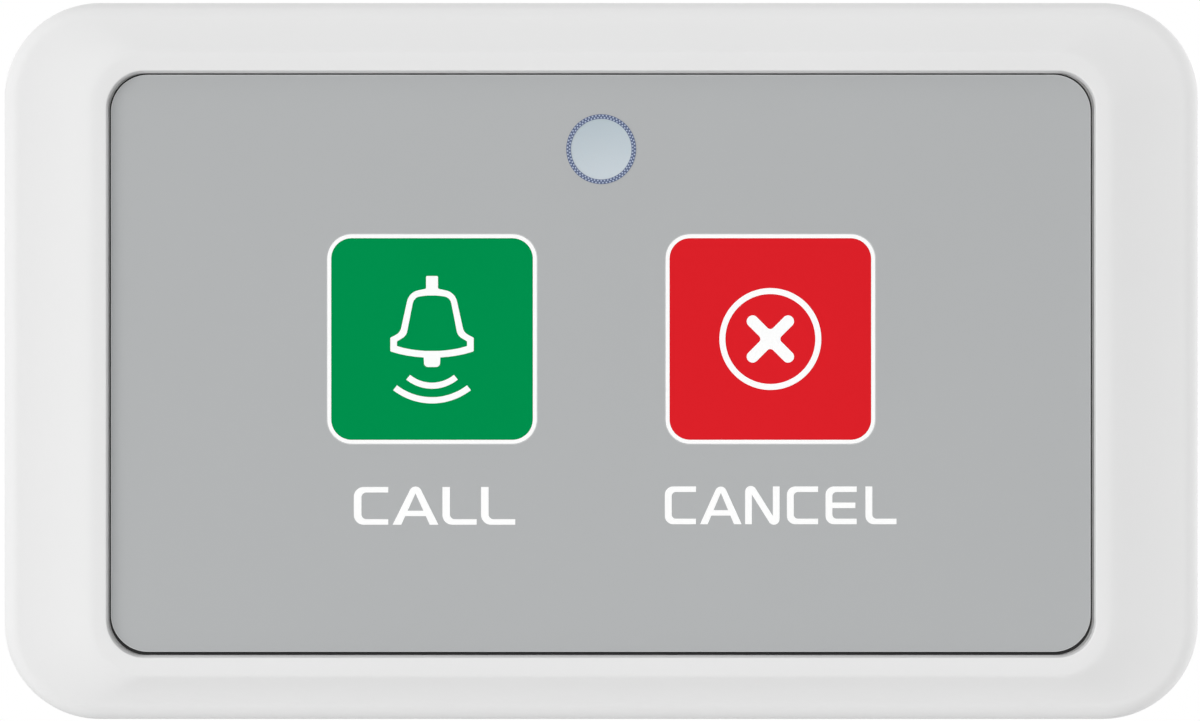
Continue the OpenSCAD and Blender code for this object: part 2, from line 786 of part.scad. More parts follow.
// Bent strip under the board that presses on the cell's small face
module negative_contact() color([0.82, 0.78, 0.6]) upright()
    translate([0, contact_w / 2, 0]) rotate([90, 0, 0]) linear_extrude(contact_w) polygon([
        [contact_reach + contact_foot_l, board_z],
        [contact_reach, board_z],
        [contact_reach - contact_bend, cell_top_z + contact_t],
        [-contact_reach, cell_top_z + contact_t],
        [-contact_reach, cell_top_z],
        [contact_reach - contact_bend + contact_t, cell_top_z],
        [contact_reach + contact_t, board_z - contact_t],
        [contact_reach + contact_foot_l, board_z - contact_t]
    ]);

// Angle strip under the board that presses on the cell's side
module positive_contact() color([0.82, 0.78, 0.6]) upright() {
    translate([cell_r + seat_gap, -contact_w / 2, board_z - contact_t])
        cube([contact_foot_l, contact_w, contact_t]);
    translate([cell_r + seat_gap, -contact_w / 2, board_z - contact_leg_h])
        cube([contact_t, contact_w, contact_leg_h]);
}

// Coin cell: a can crimped over a smaller cap
module coin_cell() color([0.8, 0.81, 0.82]) upright() translate([0, 0, cell_z]) rotate_extrude()
    polygon([
        [0, 0],
        [cell_r - crimp_in / 2, 0],
        [cell_r, crimp_in / 2],
        [cell_r, cell_t - crimp_h - button_h],
        [cell_r - crimp_in, cell_t - button_h],
        [cell_r - button_in, cell_t - button_h],
        [cell_r - button_in - button_h, cell_t],
        [0, cell_t]
    ]);

module battery_cap() color([0.84, 0.85, 0.85]) upright() {
    difference() {
        union() {
            translate([0, 0, cap_sink])
                cylinder(r1 = cap_r - cap_chamfer, r2 = cap_r, h = cap_chamfer);
            disc(cap_r, cap_sink + cap_chamfer, cap_inner_z);
            disc(hub_r, cap_inner_z - seat_gap, hub_top_z);
        }
        disc(hub_inner_r, cap_inner_z, hub_top_z + overrun);
        translate([0, 0, cap_sink - overrun]) linear_extrude(coin_slot_depth + overrun) {
            square([coin_slot_l, coin_slot_w], center = true);
            for (x = SIDES) translate([x * coin_slot_l / 2, 0]) circle(coin_slot_w / 2);
        }
        rotate(lug_at) translate([cap_r - mark_gap, 0])
            disc(mark_d / 2, cap_sink - overrun, cap_sink + mark_depth);
    }
    for (i = [0:lug_count - 1])
        sector(
            hub_r - seat_gap, lug_r, lug_top_z - lug_t, lug_top_z, lug_at + i * 360 / lug_count, lug_arc
        );
}

module cap_o_ring() color([0.15, 0.15, 0.16]) upright()
    translate([0, 0, cap_inner_z + o_ring_d / 2]) rotate_extrude()
        translate([o_ring_r, 0]) circle(d = o_ring_d);

front_housing();
rear_cover();
housing_seal();
housing_screws();
panel_adhesive();
panel_overlay();
indicator_lens();
call_key();
call_key_adhesive();
call_key_film();
call_flexure();
cancel_key();
cancel_key_adhesive();
cancel_key_film();
cancel_flexure();
circuit_board();
board_screws();
call_switch_base();
call_switch_cover();
call_switch_dome();
call_switch_stem();
cancel_switch_base();
cancel_switch_cover();
cancel_switch_dome();
cancel_switch_stem();
switch_terminals();
indicator_led();
controller_chip();
chip_leads();
transmitter_can();
crystal_can();
antenna_loop();
chip_components();
negative_contact();
positive_contact();
coin_cell();
battery_cap();
cap_o_ring();
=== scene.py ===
"""Looks of a wall-mounted two-key call unit: its white shell, printed panel, keys, cover and inside."""

import math

import bmesh
import bpy
from mathutils import Matrix, Vector
from mathutils.geometry import tessellate_polygon


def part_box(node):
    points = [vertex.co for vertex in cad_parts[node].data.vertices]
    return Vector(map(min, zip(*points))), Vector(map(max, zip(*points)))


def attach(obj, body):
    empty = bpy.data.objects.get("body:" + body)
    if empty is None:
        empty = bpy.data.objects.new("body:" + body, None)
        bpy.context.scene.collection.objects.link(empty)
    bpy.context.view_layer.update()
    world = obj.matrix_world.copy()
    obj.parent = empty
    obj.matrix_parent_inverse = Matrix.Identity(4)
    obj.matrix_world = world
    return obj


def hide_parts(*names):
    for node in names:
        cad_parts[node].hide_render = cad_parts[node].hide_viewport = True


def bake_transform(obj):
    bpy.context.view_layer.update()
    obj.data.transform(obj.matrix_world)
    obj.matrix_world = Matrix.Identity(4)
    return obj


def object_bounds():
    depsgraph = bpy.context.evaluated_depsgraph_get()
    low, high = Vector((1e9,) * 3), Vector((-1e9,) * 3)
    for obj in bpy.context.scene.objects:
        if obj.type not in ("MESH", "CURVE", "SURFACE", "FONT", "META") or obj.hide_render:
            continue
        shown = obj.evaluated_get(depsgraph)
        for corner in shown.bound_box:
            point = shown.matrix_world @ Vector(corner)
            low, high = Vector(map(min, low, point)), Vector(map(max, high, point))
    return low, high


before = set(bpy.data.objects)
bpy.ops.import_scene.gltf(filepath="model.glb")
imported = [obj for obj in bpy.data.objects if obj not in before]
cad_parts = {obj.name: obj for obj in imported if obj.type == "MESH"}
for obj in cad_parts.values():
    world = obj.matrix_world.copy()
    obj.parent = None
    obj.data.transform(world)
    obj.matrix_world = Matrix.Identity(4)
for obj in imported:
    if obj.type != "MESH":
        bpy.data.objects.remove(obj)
cad_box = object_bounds()

# Sizes are in millimetres, seen from the front: x to the right, y up, z from the wall to the viewer
MM = 0.001


def box_of(node):
    """A node's lowest and highest corner in those axes."""
    lo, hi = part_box(node)
    return Vector((lo.x, lo.z, -hi.y)) / MM, Vector((hi.x, hi.z, -lo.y)) / MM


# Housing, from the frame
HOUSING_LOW, HOUSING_HIGH = box_of("front_housing")
HOUSING_W = HOUSING_HIGH.x - HOUSING_LOW.x
HOUSING_H = HOUSING_HIGH.y - HOUSING_LOW.y
COVER_Z = HOUSING_LOW.z
RIM_Z = HOUSING_HIGH.z
CORNER_R = 7.2
WALL_T = 2

# Section of its rim from the outside in: rounded edge, crown, flat bead, lip and the recess's wall
EDGE_R = 1.2
CROWN_DROP = 1.1
CROWN_START = 0.45
CROWN_POWER = 14
RIM_SIDE_W, RIM_TOP_W = 1.0, 1.35
BEAD_DROP = 0.03
LIP_R = 0.1
RECESS_W, RECESS_H, RECESS_R = 74.55, 44.2, 2.85
RECESS_DROP = 0.24
SIDE_LEAN, TOP_LEAN = 0.13, 0.17

# Its inside: the web under the panel, the hollow under the rim and the screw bosses
WEB_T = 1.5
HOLLOW_H, HOLLOW_WALL = 1.0, 1.6
BOSS_AT, BOSS_D, BOSS_BORE = (38.3, 20.3), 6, 2.3
BOSS_FOOT, BOSS_BORE_TOP = 3.6, 10.4
BOARD_BOSS_AT, BOARD_BOSS_D, BOARD_BOSS_BORE = (31, 17), 4.5, 2.1
BOARD_BOSS_FOOT, BOARD_BOSS_BORE_TOP = 9.1, 12.5
BOSS_SUNK = 0.05

# Panel, keys and window, from the frame
PANEL_LOW, PANEL_HIGH = box_of("panel_overlay")
PANEL_R = 2.8
FILM_LOW, FILM_HIGH = box_of("call_key_film")
CANCEL_LOW, CANCEL_HIGH = box_of("cancel_key_film")
FILM_W = FILM_HIGH.x - FILM_LOW.x
FILM_R = 1.55
KEY_W, KEY_R = 15.8, 1.85
CALL_AT = (FILM_LOW + FILM_HIGH) / 2
CANCEL_AT = (CANCEL_LOW + CANCEL_HIGH) / 2
LENS_LOW, LENS_HIGH = box_of("indicator_lens")
LENS_AT = (LENS_LOW + LENS_HIGH) / 2
LENS_R = 2.35
LENS_WEB_GAP, LENS_PANEL_GAP = 0.05, 0.02
WEB_TOP = box_of("call_key_adhesive")[0].z
WEB_Z = WEB_TOP - WEB_T
FACE_Z = PANEL_HIGH.z

# Prints: the ink's thickness, the letters' height, the middle of each word's foot, the window's ring
INK_T = 0.02
CAP_H = 2.85
CALL_WORD_AT, CANCEL_WORD_AT = (-12.56, -12.34), (13.53, -12.3)
RING_R, RING_W = 2.46, 0.34
RING_DOTS = 60
RING_DOT_R = 0.065
RING_ROW_GAP = 0.16

# Turn arrow on the back of the battery cap, with its angles in degrees
CAP_BACK = box_of("battery_cap")[0].z
ARROW_R = 12.2
ARROW_W, ARROW_HEAD_W = 0.55, 1.76
ARROW_FROM, ARROW_TO, ARROW_HEAD_TURN, ARROW_HEAD_LAP = -118, -66, 9, 1
ARROW_RISE, ARROW_SUNK, ARROW_EDGE = 0.15, 0.05, 0.05

# Edges that turn by more degrees than this stay sharp
SHARP = 35


def colour(red, green, blue):
    """A colour in steps from 0 to 255, as the linear values that a shader takes."""
    steps = [s / 255 for s in (red, green, blue)]
    linear = [s / 12.92 if s <= 0.04045 else ((s + 0.055) / 1.055) ** 2.4 for s in steps]
    return (*linear, 1.0)


# Outlines


def outline(w, h, r, down=0.0, steps=24):
    """A rounded rectangle, counter-clockwise."""
    points = []
    for corner in range(4):
        side = 1 if corner in (0, 3) else -1
        end = 1 if corner < 2 else -1
        for step in range(steps + 1):
            a = math.radians(90 * (corner + step / steps))
            x = side * (w / 2 - r) + r * math.cos(a)
            y = end * (h / 2 - r) + r * math.sin(a) - down
            points.append((x, y))
    return points


def circle(r, x=0.0, y=0.0, steps=64):
    turns = [2 * math.pi * step / steps for step in range(steps)]
    return [(x + r * math.cos(a), y + r * math.sin(a)) for a in turns]


def moved(points, x, y):
    return [(px + x, py + y) for px, py in points]


def turned(points, degrees):
    c, s = math.cos(math.radians(degrees)), math.sin(math.radians(degrees))
    return [(x * c - y * s, x * s + y * c) for x, y in points]


def filleted(corners, steps=8):
    """A loop through corners given as x, y and radius, each rounded with its radius."""
    loop = []
    for i, (x, y, r) in enumerate(corners):
        if not r:
            loop.append((x, y))
            continue
        here = Vector((x, y))
        back = (Vector(corners[i - 1][:2]) - here).normalized()
        on = (Vector(corners[(i + 1) % len(corners)][:2]) - here).normalized()
        half = back.angle(on) / 2
        centre = here + (back + on).normalized() * (r / math.sin(half))
        first = here + back * (r / math.tan(half)) - centre
        last = here + on * (r / math.tan(half)) - centre
        start = math.atan2(first.y, first.x)
        sweep = math.atan2(last.y, last.x) - start
        sweep = (sweep + math.pi) % (2 * math.pi) - math.pi
        for step in range(steps + 1):
            a = start + sweep * step / steps
            loop.append((centre.x + r * math.cos(a), centre.y + r * math.sin(a)))
    return loop


def arc_band(r, width, first, last, steps=20):
    """A bent bar round the origin, from one angle to another in degrees."""
    turns = [math.radians(first + (last - first) * step / steps) for step in range(steps + 1)]
    outer = [((r + width / 2) * math.cos(a), (r + width / 2) * math.sin(a)) for a in turns]
    inner = [((r - width / 2) * math.cos(a), (r - width / 2) * math.sin(a)) for a in turns]
    return outer + inner[::-1]


def area(points):
    pairs = zip(points, points[1:] + points[:1])
    return sum(x0 * y1 - x1 * y0 for (x0, y0), (x1, y1) in pairs) / 2


def inset(points, depth):
    """The same loop moved by a depth to its left, where its material is."""
    result = []
    for i, (x, y) in enumerate(points):
        here = Vector((x, y))
        before = (here - Vector(points[i - 1])).normalized()
        after = (Vector(points[(i + 1) % len(points)]) - here).normalized()
        lefts = Vector((-before.y, before.x)), Vector((-after.y, after.x))
        middle = (lefts[0] + lefts[1]).normalized()
        # A sharp corner moves no further than twice the depth
        slant = max(middle.dot(lefts[0]), 1 / 2)
        result.append(tuple(here + middle * (depth / slant)))
    return result


# Meshes


def place(x, y, z):
    """A point seen from the front, in the row frame and in metres."""
    return Vector((x, -z, y)) * MM


def add_strip(bm, rows, closed=False):
    """Faces between neighbouring rows of points, and from the last to the first if closed."""
    pairs = list(zip(rows, rows[1:])) + ([(rows[-1], rows[0])] if closed else [])
    for lower, upper in pairs:
        for i in range(len(lower)):
            j = (i + 1) % len(lower)
            bm.faces.new((lower[i], lower[j], upper[j], upper[i]))


def add_rows(bm, rings):
    """Points of the bmesh along rings, each given as its loop and its height."""
    return [[bm.verts.new(place(x, y, z)) for x, y in loop] for loop, z in rings]


def add_sheet(bm, rows):
    """A flat face inside the first row of points and outside the others."""
    points = [v for row in rows for v in row]
    flat = [[Vector((v.co.x, v.co.z, 0)) for v in row] for row in rows]
    for corners in tessellate_polygon(flat):
        if len(set(corners)) == 3:
            bm.faces.new([points[c] for c in corners])


def add_plate(bm, loops, back, front, edge=0.0, steps=3):
    """A flat piece with holes: the first loop is its outside, and its front edge is rounded."""
    backs, fronts = [], []
    away = 1 if front > back else -1
    for n, loop in enumerate(loops):
        loop = loop if (area(loop) > 0) == (n == 0) else loop[::-1]
        rings = [(loop, back), (loop, front - away * edge)]
        for step in range(1, steps + 1 if edge else 0):
            a = math.radians(90 * step / steps)
            rings.append((inset(loop, edge * (1 - math.cos(a))), front - away * edge * (1 - math.sin(a))))
        rows = add_rows(bm, rings)
        add_strip(bm, rows)
        backs.append(rows[0])
        fronts.append(rows[-1])
    add_sheet(bm, backs)
    add_sheet(bm, fronts)


def add_lathe(bm, profile, x, y, steps=96):
    """A turned piece: its profile runs as radius and height, and closes at both ends."""
    least_r = 0.001
    rows = add_rows(bm, [(circle(max(r, least_r), x, y, steps), z) for r, z in profile])
    add_strip(bm, rows)
    bm.faces.new(rows[0])
    bm.faces.new(rows[-1])


def paint_bevel(obj, material):
    """Gives the small sloping faces round a flat front a second material."""
    upright, level = 0.1, 0.99
    obj.data.materials.append(material)
    for face in obj.data.polygons:
        if upright < -face.normal.y < level:
            face.material_index = len(obj.data.materials) - 1


def add_object(name, data):
    """A new object in the scene that shows a mesh, a light or a camera."""
    result = bpy.data.objects.new(name, data)
    bpy.context.scene.collection.objects.link(result)
    return result


def piece(bm, name, sharp=SHARP):
    """An object from a bmesh, smooth but for edges sharper than an angle."""
    bmesh.ops.recalc_face_normals(bm, faces=bm.faces)
    mesh = bpy.data.meshes.new(name)
    bm.to_mesh(mesh)
    bm.free()
    mesh.shade_smooth()
    mesh.set_sharp_from_angle(angle=math.radians(sharp))
    return add_object(name, mesh)


def settle(obj):
    """Makes what the object's modifiers show its own mesh."""
    shown = obj.evaluated_get(bpy.context.evaluated_depsgraph_get())
    mesh = bpy.data.meshes.new_from_object(shown)
    obj.modifiers.clear()
    obj.data = mesh
    return obj


def even_shading(obj):
    """Lets flat faces stay flat beside their rounded edges."""
    shading = obj.modifiers.new("shading", "WEIGHTED_NORMAL")
    shading.keep_sharp = True
    return settle(obj)


def joined(obj, other):
    """Unites two solids and keeps the first."""
    union = obj.modifiers.new("union", "BOOLEAN")
    union.operation = "UNION"
    union.solver = "EXACT"
    union.object = other
    settle(obj)
    bpy.data.objects.remove(other)
    return obj


def dressed(node, name, edge):
    """A copy of a CAD node with its corners rounded, which stands for it."""
    weld, flat, corner = MM / 500, math.radians(0.5), math.radians(40)
    bm = bmesh.new()
    bm.from_mesh(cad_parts[node].data)
    bmesh.ops.remove_doubles(bm, verts=bm.verts, dist=weld)
    bmesh.ops.dissolve_limit(bm, angle_limit=flat, verts=bm.verts, edges=bm.edges)
    corners = [e for e in bm.edges if e.is_manifold and e.calc_face_angle() > corner]
    bmesh.ops.bevel(
        bm, geom=corners, offset=edge * MM, segments=2, profile=0.5, affect="EDGES", clamp_overlap=True
    )
    copy = even_shading(piece(bm, name, sharp=50))
    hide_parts(node)
    return copy


# Shared effects, each a node group


def new_group(name, inputs, outputs):
    """A shader node group with its sockets, given as names with their types."""
    tree = bpy.data.node_groups.new(name, "ShaderNodeTree")
    for way, sockets in (("INPUT", inputs), ("OUTPUT", outputs)):
        for socket, kind in sockets.items():
            tree.interface.new_socket(socket, in_out=way, socket_type="NodeSocket" + kind)
    return tree, tree.nodes.new("NodeGroupInput"), tree.nodes.new("NodeGroupOutput")


def wire(tree, source, target):
    tree.links.new(source, target)


def object_place(tree):
    """Where a point of the surface lies in its object."""
    return tree.nodes.new("ShaderNodeTexCoord").outputs["Object"]


def add_math(tree, operation, first, second):
    """A Math node whose values are sockets or numbers."""
    node = tree.nodes.new("ShaderNodeMath")
    node.operation = operation
    for n, value in enumerate((first, second)):
        if isinstance(value, (int, float)):
            node.inputs[n].default_value = value
        else:
            wire(tree, value, node.inputs[n])
    return node.outputs[0]


def add_noise(tree, vector, scale, detail, rough=0.5):
    """A Noise Texture node whose scale is a socket or a number."""
    node = tree.nodes.new("ShaderNodeTexNoise")
    wire(tree, vector, node.inputs["Vector"])
    if isinstance(scale, (int, float)):
        node.inputs["Scale"].default_value = scale
    else:
        wire(tree, scale, node.inputs["Scale"])
    node.inputs["Detail"].default_value = detail
    node.inputs["Roughness"].default_value = rough
    return node.outputs["Fac"]


def add_mix(tree, factor, first, second):
    """A colour mix whose values are sockets or colours."""
    node = tree.nodes.new("ShaderNodeMix")
    node.data_type = "RGBA"
    for socket, value in ((node.inputs[0], factor), (node.inputs[6], first), (node.inputs[7], second)):
        if isinstance(value, bpy.types.NodeSocket):
            wire(tree, value, socket)
        else:
            socket.default_value = value
    return node.outputs[2]


def make_moulding():
    """Moulded or cast surface: cloudy tone, uneven gloss and a fine grain."""
    tree, given, out = new_group(
        "moulding",
        {
            "Color": "Color", "Other color": "Color", "Roughness": "Float", "Gloss play": "Float",
            "Cloud scale": "Float", "Grain scale": "Float",
        },
        {"Color": "Color", "Roughness": "Float", "Height": "Float"},
    )
    where = object_place(tree)
    cloud = add_noise(tree, where, given.outputs["Cloud scale"], detail=3.0)
    grain = add_noise(tree, where, given.outputs["Grain scale"], detail=2.0, rough=0.6)
    tone = add_mix(tree, cloud, given.outputs["Color"], given.outputs["Other color"])
    wire(tree, tone, out.inputs["Color"])
    play = add_math(tree, "MULTIPLY", add_math(tree, "SUBTRACT", cloud, 0.5), given.outputs["Gloss play"])
    speck = add_math(tree, "MULTIPLY", add_math(tree, "SUBTRACT", grain, 0.5), given.outputs["Gloss play"])
    level = add_math(tree, "ADD", given.outputs["Roughness"], add_math(tree, "ADD", play, speck))
    wire(tree, level, out.inputs["Roughness"])
    wire(tree, grain, out.inputs["Height"])
    return tree


def make_brushing():
    """Rolled or plated metal: long marks along one axis and small stains."""
    tree, given, out = new_group(
        "brushing",
        {
            "Color": "Color", "Stain color": "Color", "Roughness": "Float",
            "Mark scale": "Float", "Mark length": "Float",
        },
        {"Color": "Color", "Roughness": "Float", "Height": "Float"},
    )
    where = object_place(tree)
    stretch = tree.nodes.new("ShaderNodeMapping")
    stretch.vector_type = "TEXTURE"
    wire(tree, where, stretch.inputs["Vector"])
    axes = tree.nodes.new("ShaderNodeCombineXYZ")
    axes.inputs["Y"].default_value = 1.0
    axes.inputs["Z"].default_value = 1.0
    wire(tree, given.outputs["Mark length"], axes.inputs["X"])
    wire(tree, axes.outputs[0], stretch.inputs["Scale"])
    marks = add_noise(tree, stretch.outputs[0], given.outputs["Mark scale"], detail=4.0, rough=0.7)
    stains = add_noise(tree, where, scale=220.0, detail=4.0, rough=0.6)
    stain_from, stain_gain, mark_play = 0.45, 1.2, 0.25
    patch = add_math(tree, "MULTIPLY", add_math(tree, "SUBTRACT", stains, stain_from), stain_gain)
    patch = add_math(tree, "MAXIMUM", patch, 0.0)
    tone = add_mix(tree, patch, given.outputs["Color"], given.outputs["Stain color"])
    wire(tree, tone, out.inputs["Color"])
    spread = add_math(tree, "MULTIPLY", add_math(tree, "SUBTRACT", marks, 0.5), mark_play)
    wire(tree, add_math(tree, "ADD", given.outputs["Roughness"], spread), out.inputs["Roughness"])
    wire(tree, marks, out.inputs["Height"])
    return tree


def make_handling():
    """Polish that fingers leave round a spot, as a mask that is 1 at the spot."""
    tree, given, out = new_group("handling", {"Spot": "Vector", "Reach": "Float"}, {"Mask": "Float"})
    where = object_place(tree)
    apart = tree.nodes.new("ShaderNodeVectorMath")
    apart.operation = "DISTANCE"
    wire(tree, where, apart.inputs[0])
    wire(tree, given.outputs["Spot"], apart.inputs[1])
    share = add_math(tree, "DIVIDE", apart.outputs["Value"], given.outputs["Reach"])
    near = add_math(tree, "SUBTRACT", 1.0, share)
    smear = add_noise(tree, where, scale=450.0, detail=3.0, rough=0.6)
    mask = add_math(tree, "MULTIPLY", add_math(tree, "MAXIMUM", near, 0.0), smear)
    wire(tree, mask, out.inputs["Mask"])
    return tree


MOULDING = make_moulding()
BRUSHING = make_brushing()
HANDLING = make_handling()


# Materials


def new_material(name, **sockets):
    """A material on the Principled shader, with plain values set on the shader's own sockets."""
    material = bpy.data.materials.new(name)
    material.use_nodes = True
    shader = material.node_tree.nodes["Principled BSDF"]
    for socket, value in sockets.items():
        shader.inputs[socket.replace("_", " ")].default_value = value
    return material


def add_effect(material, group, **inputs):
    """Places a shared effect in a material with values of its own."""
    node = material.node_tree.nodes.new("ShaderNodeGroup")
    node.node_tree = group
    for socket, value in inputs.items():
        node.inputs[socket.replace("_", " ")].default_value = value
    return node


def feed(material, output, socket):
    """Feeds a socket of the material's shader."""
    shader = material.node_tree.nodes["Principled BSDF"]
    wire(material.node_tree, output, shader.inputs[socket])


def feed_bump(material, height, depth):
    """Bumps the surface by a height whose full step is a depth in millimetres."""
    bump = material.node_tree.nodes.new("ShaderNodeBump")
    bump.inputs["Distance"].default_value = depth * MM
    wire(material.node_tree, height, bump.inputs["Height"])
    feed(material, bump.outputs["Normal"], "Normal")


def feed_surface(material, effect, height, depth):
    """Colours a material and sets its gloss from an effect, and bumps it by a height."""
    feed(material, effect.outputs["Color"], "Base Color")
    feed(material, effect.outputs["Roughness"], "Roughness")
    feed_bump(material, height, depth)


def moulded(name, tone, other, roughness, grain, grain_scale=5000.0, play=0.06, **sockets):
    """A moulded plastic, rubber or printed film, with the depth of its grain in millimetres."""
    material = new_material(name, **sockets)
    effect = add_effect(
        material, MOULDING, Color=tone, Other_color=other, Roughness=roughness, Gloss_play=play,
        Cloud_scale=60.0, Grain_scale=grain_scale,
    )
    feed_surface(material, effect, effect.outputs["Height"], depth=grain)
    return material


def plated(name, tone, stain, roughness, marks, length):
    """A rolled or plated metal, with how close and how long its marks are."""
    material = new_material(name, Metallic=1.0)
    effect = add_effect(
        material, BRUSHING, Color=tone, Stain_color=stain, Roughness=roughness,
        Mark_scale=marks, Mark_length=length,
    )
    feed_surface(material, effect, effect.outputs["Height"], depth=0.002)
    return material


def key_film(name, tone, other, at):
    """A printed key film, a little polished where fingers press it."""
    material = moulded(
        name, tone, other, roughness=0.42, grain=0.0012, grain_scale=7000.0, play=0.04,
        Specular_IOR_Level=0.25, Specular_Tint=tone,
    )
    tree = material.node_tree
    effect = next(n for n in tree.nodes if n.type == "GROUP")
    polish = add_effect(material, HANDLING, Spot=place(at.x, at.y, FACE_Z), Reach=9 * MM)
    polish_gain = 0.12
    smooth = add_math(tree, "MULTIPLY", polish.outputs["Mask"], polish_gain)
    feed(material, add_math(tree, "SUBTRACT", effect.outputs["Roughness"], smooth), "Roughness")
    return material


def circuit_laminate():
    """Green solder mask with paler copper paths under it."""
    material = new_material("solder_mask", Coat_Weight=0.3, Coat_Roughness=0.15)
    tree = material.node_tree
    paths = tree.nodes.new("ShaderNodeTexVoronoi")
    paths.distance = "MANHATTAN"
    paths.feature = "F1"
    paths.inputs["Scale"].default_value = 260.0
    wire(tree, object_place(tree), paths.inputs["Vector"])
    pitch, bare = 0.16, 0.1
    wave = add_math(tree, "PINGPONG", paths.outputs["Distance"], pitch)
    copper = add_math(tree, "GREATER_THAN", wave, bare)
    tone = add_mix(tree, copper, colour(10, 84, 44), colour(26, 116, 64))
    effect = add_effect(
        material, MOULDING, Roughness=0.35, Gloss_play=0.1, Cloud_scale=90.0, Grain_scale=5000.0,
    )
    wire(tree, tone, effect.inputs["Color"])
    wire(tree, tone, effect.inputs["Other color"])
    feed_surface(material, effect, copper, depth=0.02)
    return material


def light_guide():
    """Frosted clear plastic, pale blue-grey over the lamp's hollow, with painted shade that makes it a
    little darker upwards.
    """
    # low holds the window's frosted tone at its bottom; high holds the same tone painted darker, as shade at
    # its top
    low = {"Color": colour(198, 207, 213), "Other color": colour(195, 205, 212)}
    high = {"Color": colour(180, 193, 200), "Other color": colour(178, 191, 199)}
    material = moulded(
        "frosted_guide", *low.values(), roughness=0.3, grain=0.001, grain_scale=6000.0, play=0.05,
        Coat_Weight=0.4, Coat_Roughness=0.12, Subsurface_Weight=0.15,
    )
    tree = material.node_tree
    place_in = tree.nodes.new("ShaderNodeSeparateXYZ")
    wire(tree, object_place(tree), place_in.inputs[0])
    # Painted shade: the colour ramps from the low tone at the window's bottom to the darker high tone at its
    # top
    painted_shade_ramp = tree.nodes.new("ShaderNodeMapRange")
    painted_shade_ramp.inputs["From Min"].default_value = (LENS_AT.y - LENS_R) * MM
    painted_shade_ramp.inputs["From Max"].default_value = (LENS_AT.y + LENS_R) * MM
    wire(tree, place_in.outputs["Z"], painted_shade_ramp.inputs["Value"])
    effect = next(n for n in tree.nodes if n.type == "GROUP")
    for socket in low:
        wire(tree, add_mix(tree, painted_shade_ramp.outputs[0], low[socket], high[socket]), effect.inputs[socket])
    shader = tree.nodes["Principled BSDF"]
    shader.inputs["Subsurface Radius"].default_value = (0.6 * MM, 0.8 * MM, 1.0 * MM)
    return material


def ink(name, tone, other, play=0.05):
    return moulded(name, tone, other, roughness=0.5, grain=0.001, play=play, Specular_IOR_Level=0.3)


WHITE_SHELL = moulded(
    "satin_white", colour(230, 230, 230), colour(227, 227, 227), roughness=0.36, grain=0.0012, play=0.05,
)
WHITE_COVER = moulded(
    "grained_white", colour(214, 215, 215), colour(209, 210, 210), roughness=0.52, grain=0.012,
    grain_scale=2600.0, play=0.12,
)
PANEL_GREY = moulded(
    "panel_film", colour(177, 179, 180), colour(175, 177, 178), roughness=0.5, grain=0.0016,
    grain_scale=6000.0, play=0.05, Specular_IOR_Level=0.25,
)
# The panel's eased edge: the clear film's cut edge, painted lighter than the panel as a highlight along it
PANEL_EDGE_HIGHLIGHT = moulded(
    "clear_edge_painted_highlight", colour(206, 208, 209), colour(200, 202, 203), roughness=0.3, grain=0.001,
)
WHITE_INK = ink("white_ink", colour(255, 255, 255), colour(252, 253, 252), play=0.04)
RING_BLUE = ink("ring_ink", colour(82, 94, 128), colour(90, 102, 132))
DOT_BLUE = ink("dot_ink", colour(178, 190, 210), colour(170, 182, 206))
CALL_GREEN = key_film("call_green", colour(0, 143, 77), colour(0, 140, 74), CALL_AT)
CANCEL_RED = key_film("cancel_red", colour(221, 33, 41), colour(217, 32, 40), CANCEL_AT)
GUIDE = light_guide()
ACETAL = moulded(
    "plunger_acetal", colour(240, 240, 238), colour(234, 235, 232), roughness=0.34, grain=0.002,
)
# Black adhesive: the real tape under keys and panel, and in the panel's gap painted shade that stands for
# the gap's shadow
ADHESIVE_AND_GAP_SHADE = moulded("adhesive_film_gap_shade", colour(30, 30, 31), colour(36, 35, 34), roughness=0.5, grain=0.006)
RUBBER = moulded(
    "silicone", colour(42, 42, 44), colour(36, 36, 38), roughness=0.62, grain=0.006, grain_scale=3800.0,
)
MOULD_BLACK = moulded(
    "moulding_compound", colour(34, 34, 36), colour(42, 42, 43), roughness=0.55, grain=0.006,
)
CERAMIC = moulded("ceramic", colour(176, 152, 118), colour(160, 138, 108), roughness=0.45, grain=0.004)
LAMP_WHITE = moulded("lamp_body", colour(240, 238, 222), colour(244, 236, 196), roughness=0.4, grain=0.002)
LAMINATE = circuit_laminate()
ZINC = plated(
    "zinc_plate", colour(205, 208, 212), colour(176, 178, 176), roughness=0.3, marks=2600.0, length=3.0,
)
TIN = plated(
    "tinned_sheet", colour(214, 214, 208), colour(186, 185, 178), roughness=0.26, marks=1400.0, length=8.0,
)
NICKEL = plated(
    "nickel_can", colour(212, 211, 206), colour(190, 188, 180), roughness=0.22, marks=700.0, length=16.0,
)
BRASS = plated(
    "spring_brass", colour(214, 194, 136), colour(178, 150, 96), roughness=0.28, marks=1100.0, length=10.0,
)


def dress(obj, material, body=None):
    """Gives a piece its material and the body that it rides on, if it rides on one."""
    obj.data.materials.clear()
    obj.data.materials.append(material)
    if body:
        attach(obj, body)
    return obj


# Housing


def crown_rise(share):
    """Height share of the crown at a share of its width: it steepens inwards and ends level."""

    def total(s):
        """The sum of the slope (start + s) * (1 - s ** power) up to s."""
        rise = CROWN_START * s + s * s / 2
        fade = CROWN_START * s ** (CROWN_POWER + 1) / (CROWN_POWER + 1)
        return rise - fade - s ** (CROWN_POWER + 2) / (CROWN_POWER + 2)

    return total(share) / total(1)


def between(a, b, share):
    return a + (b - a) * share


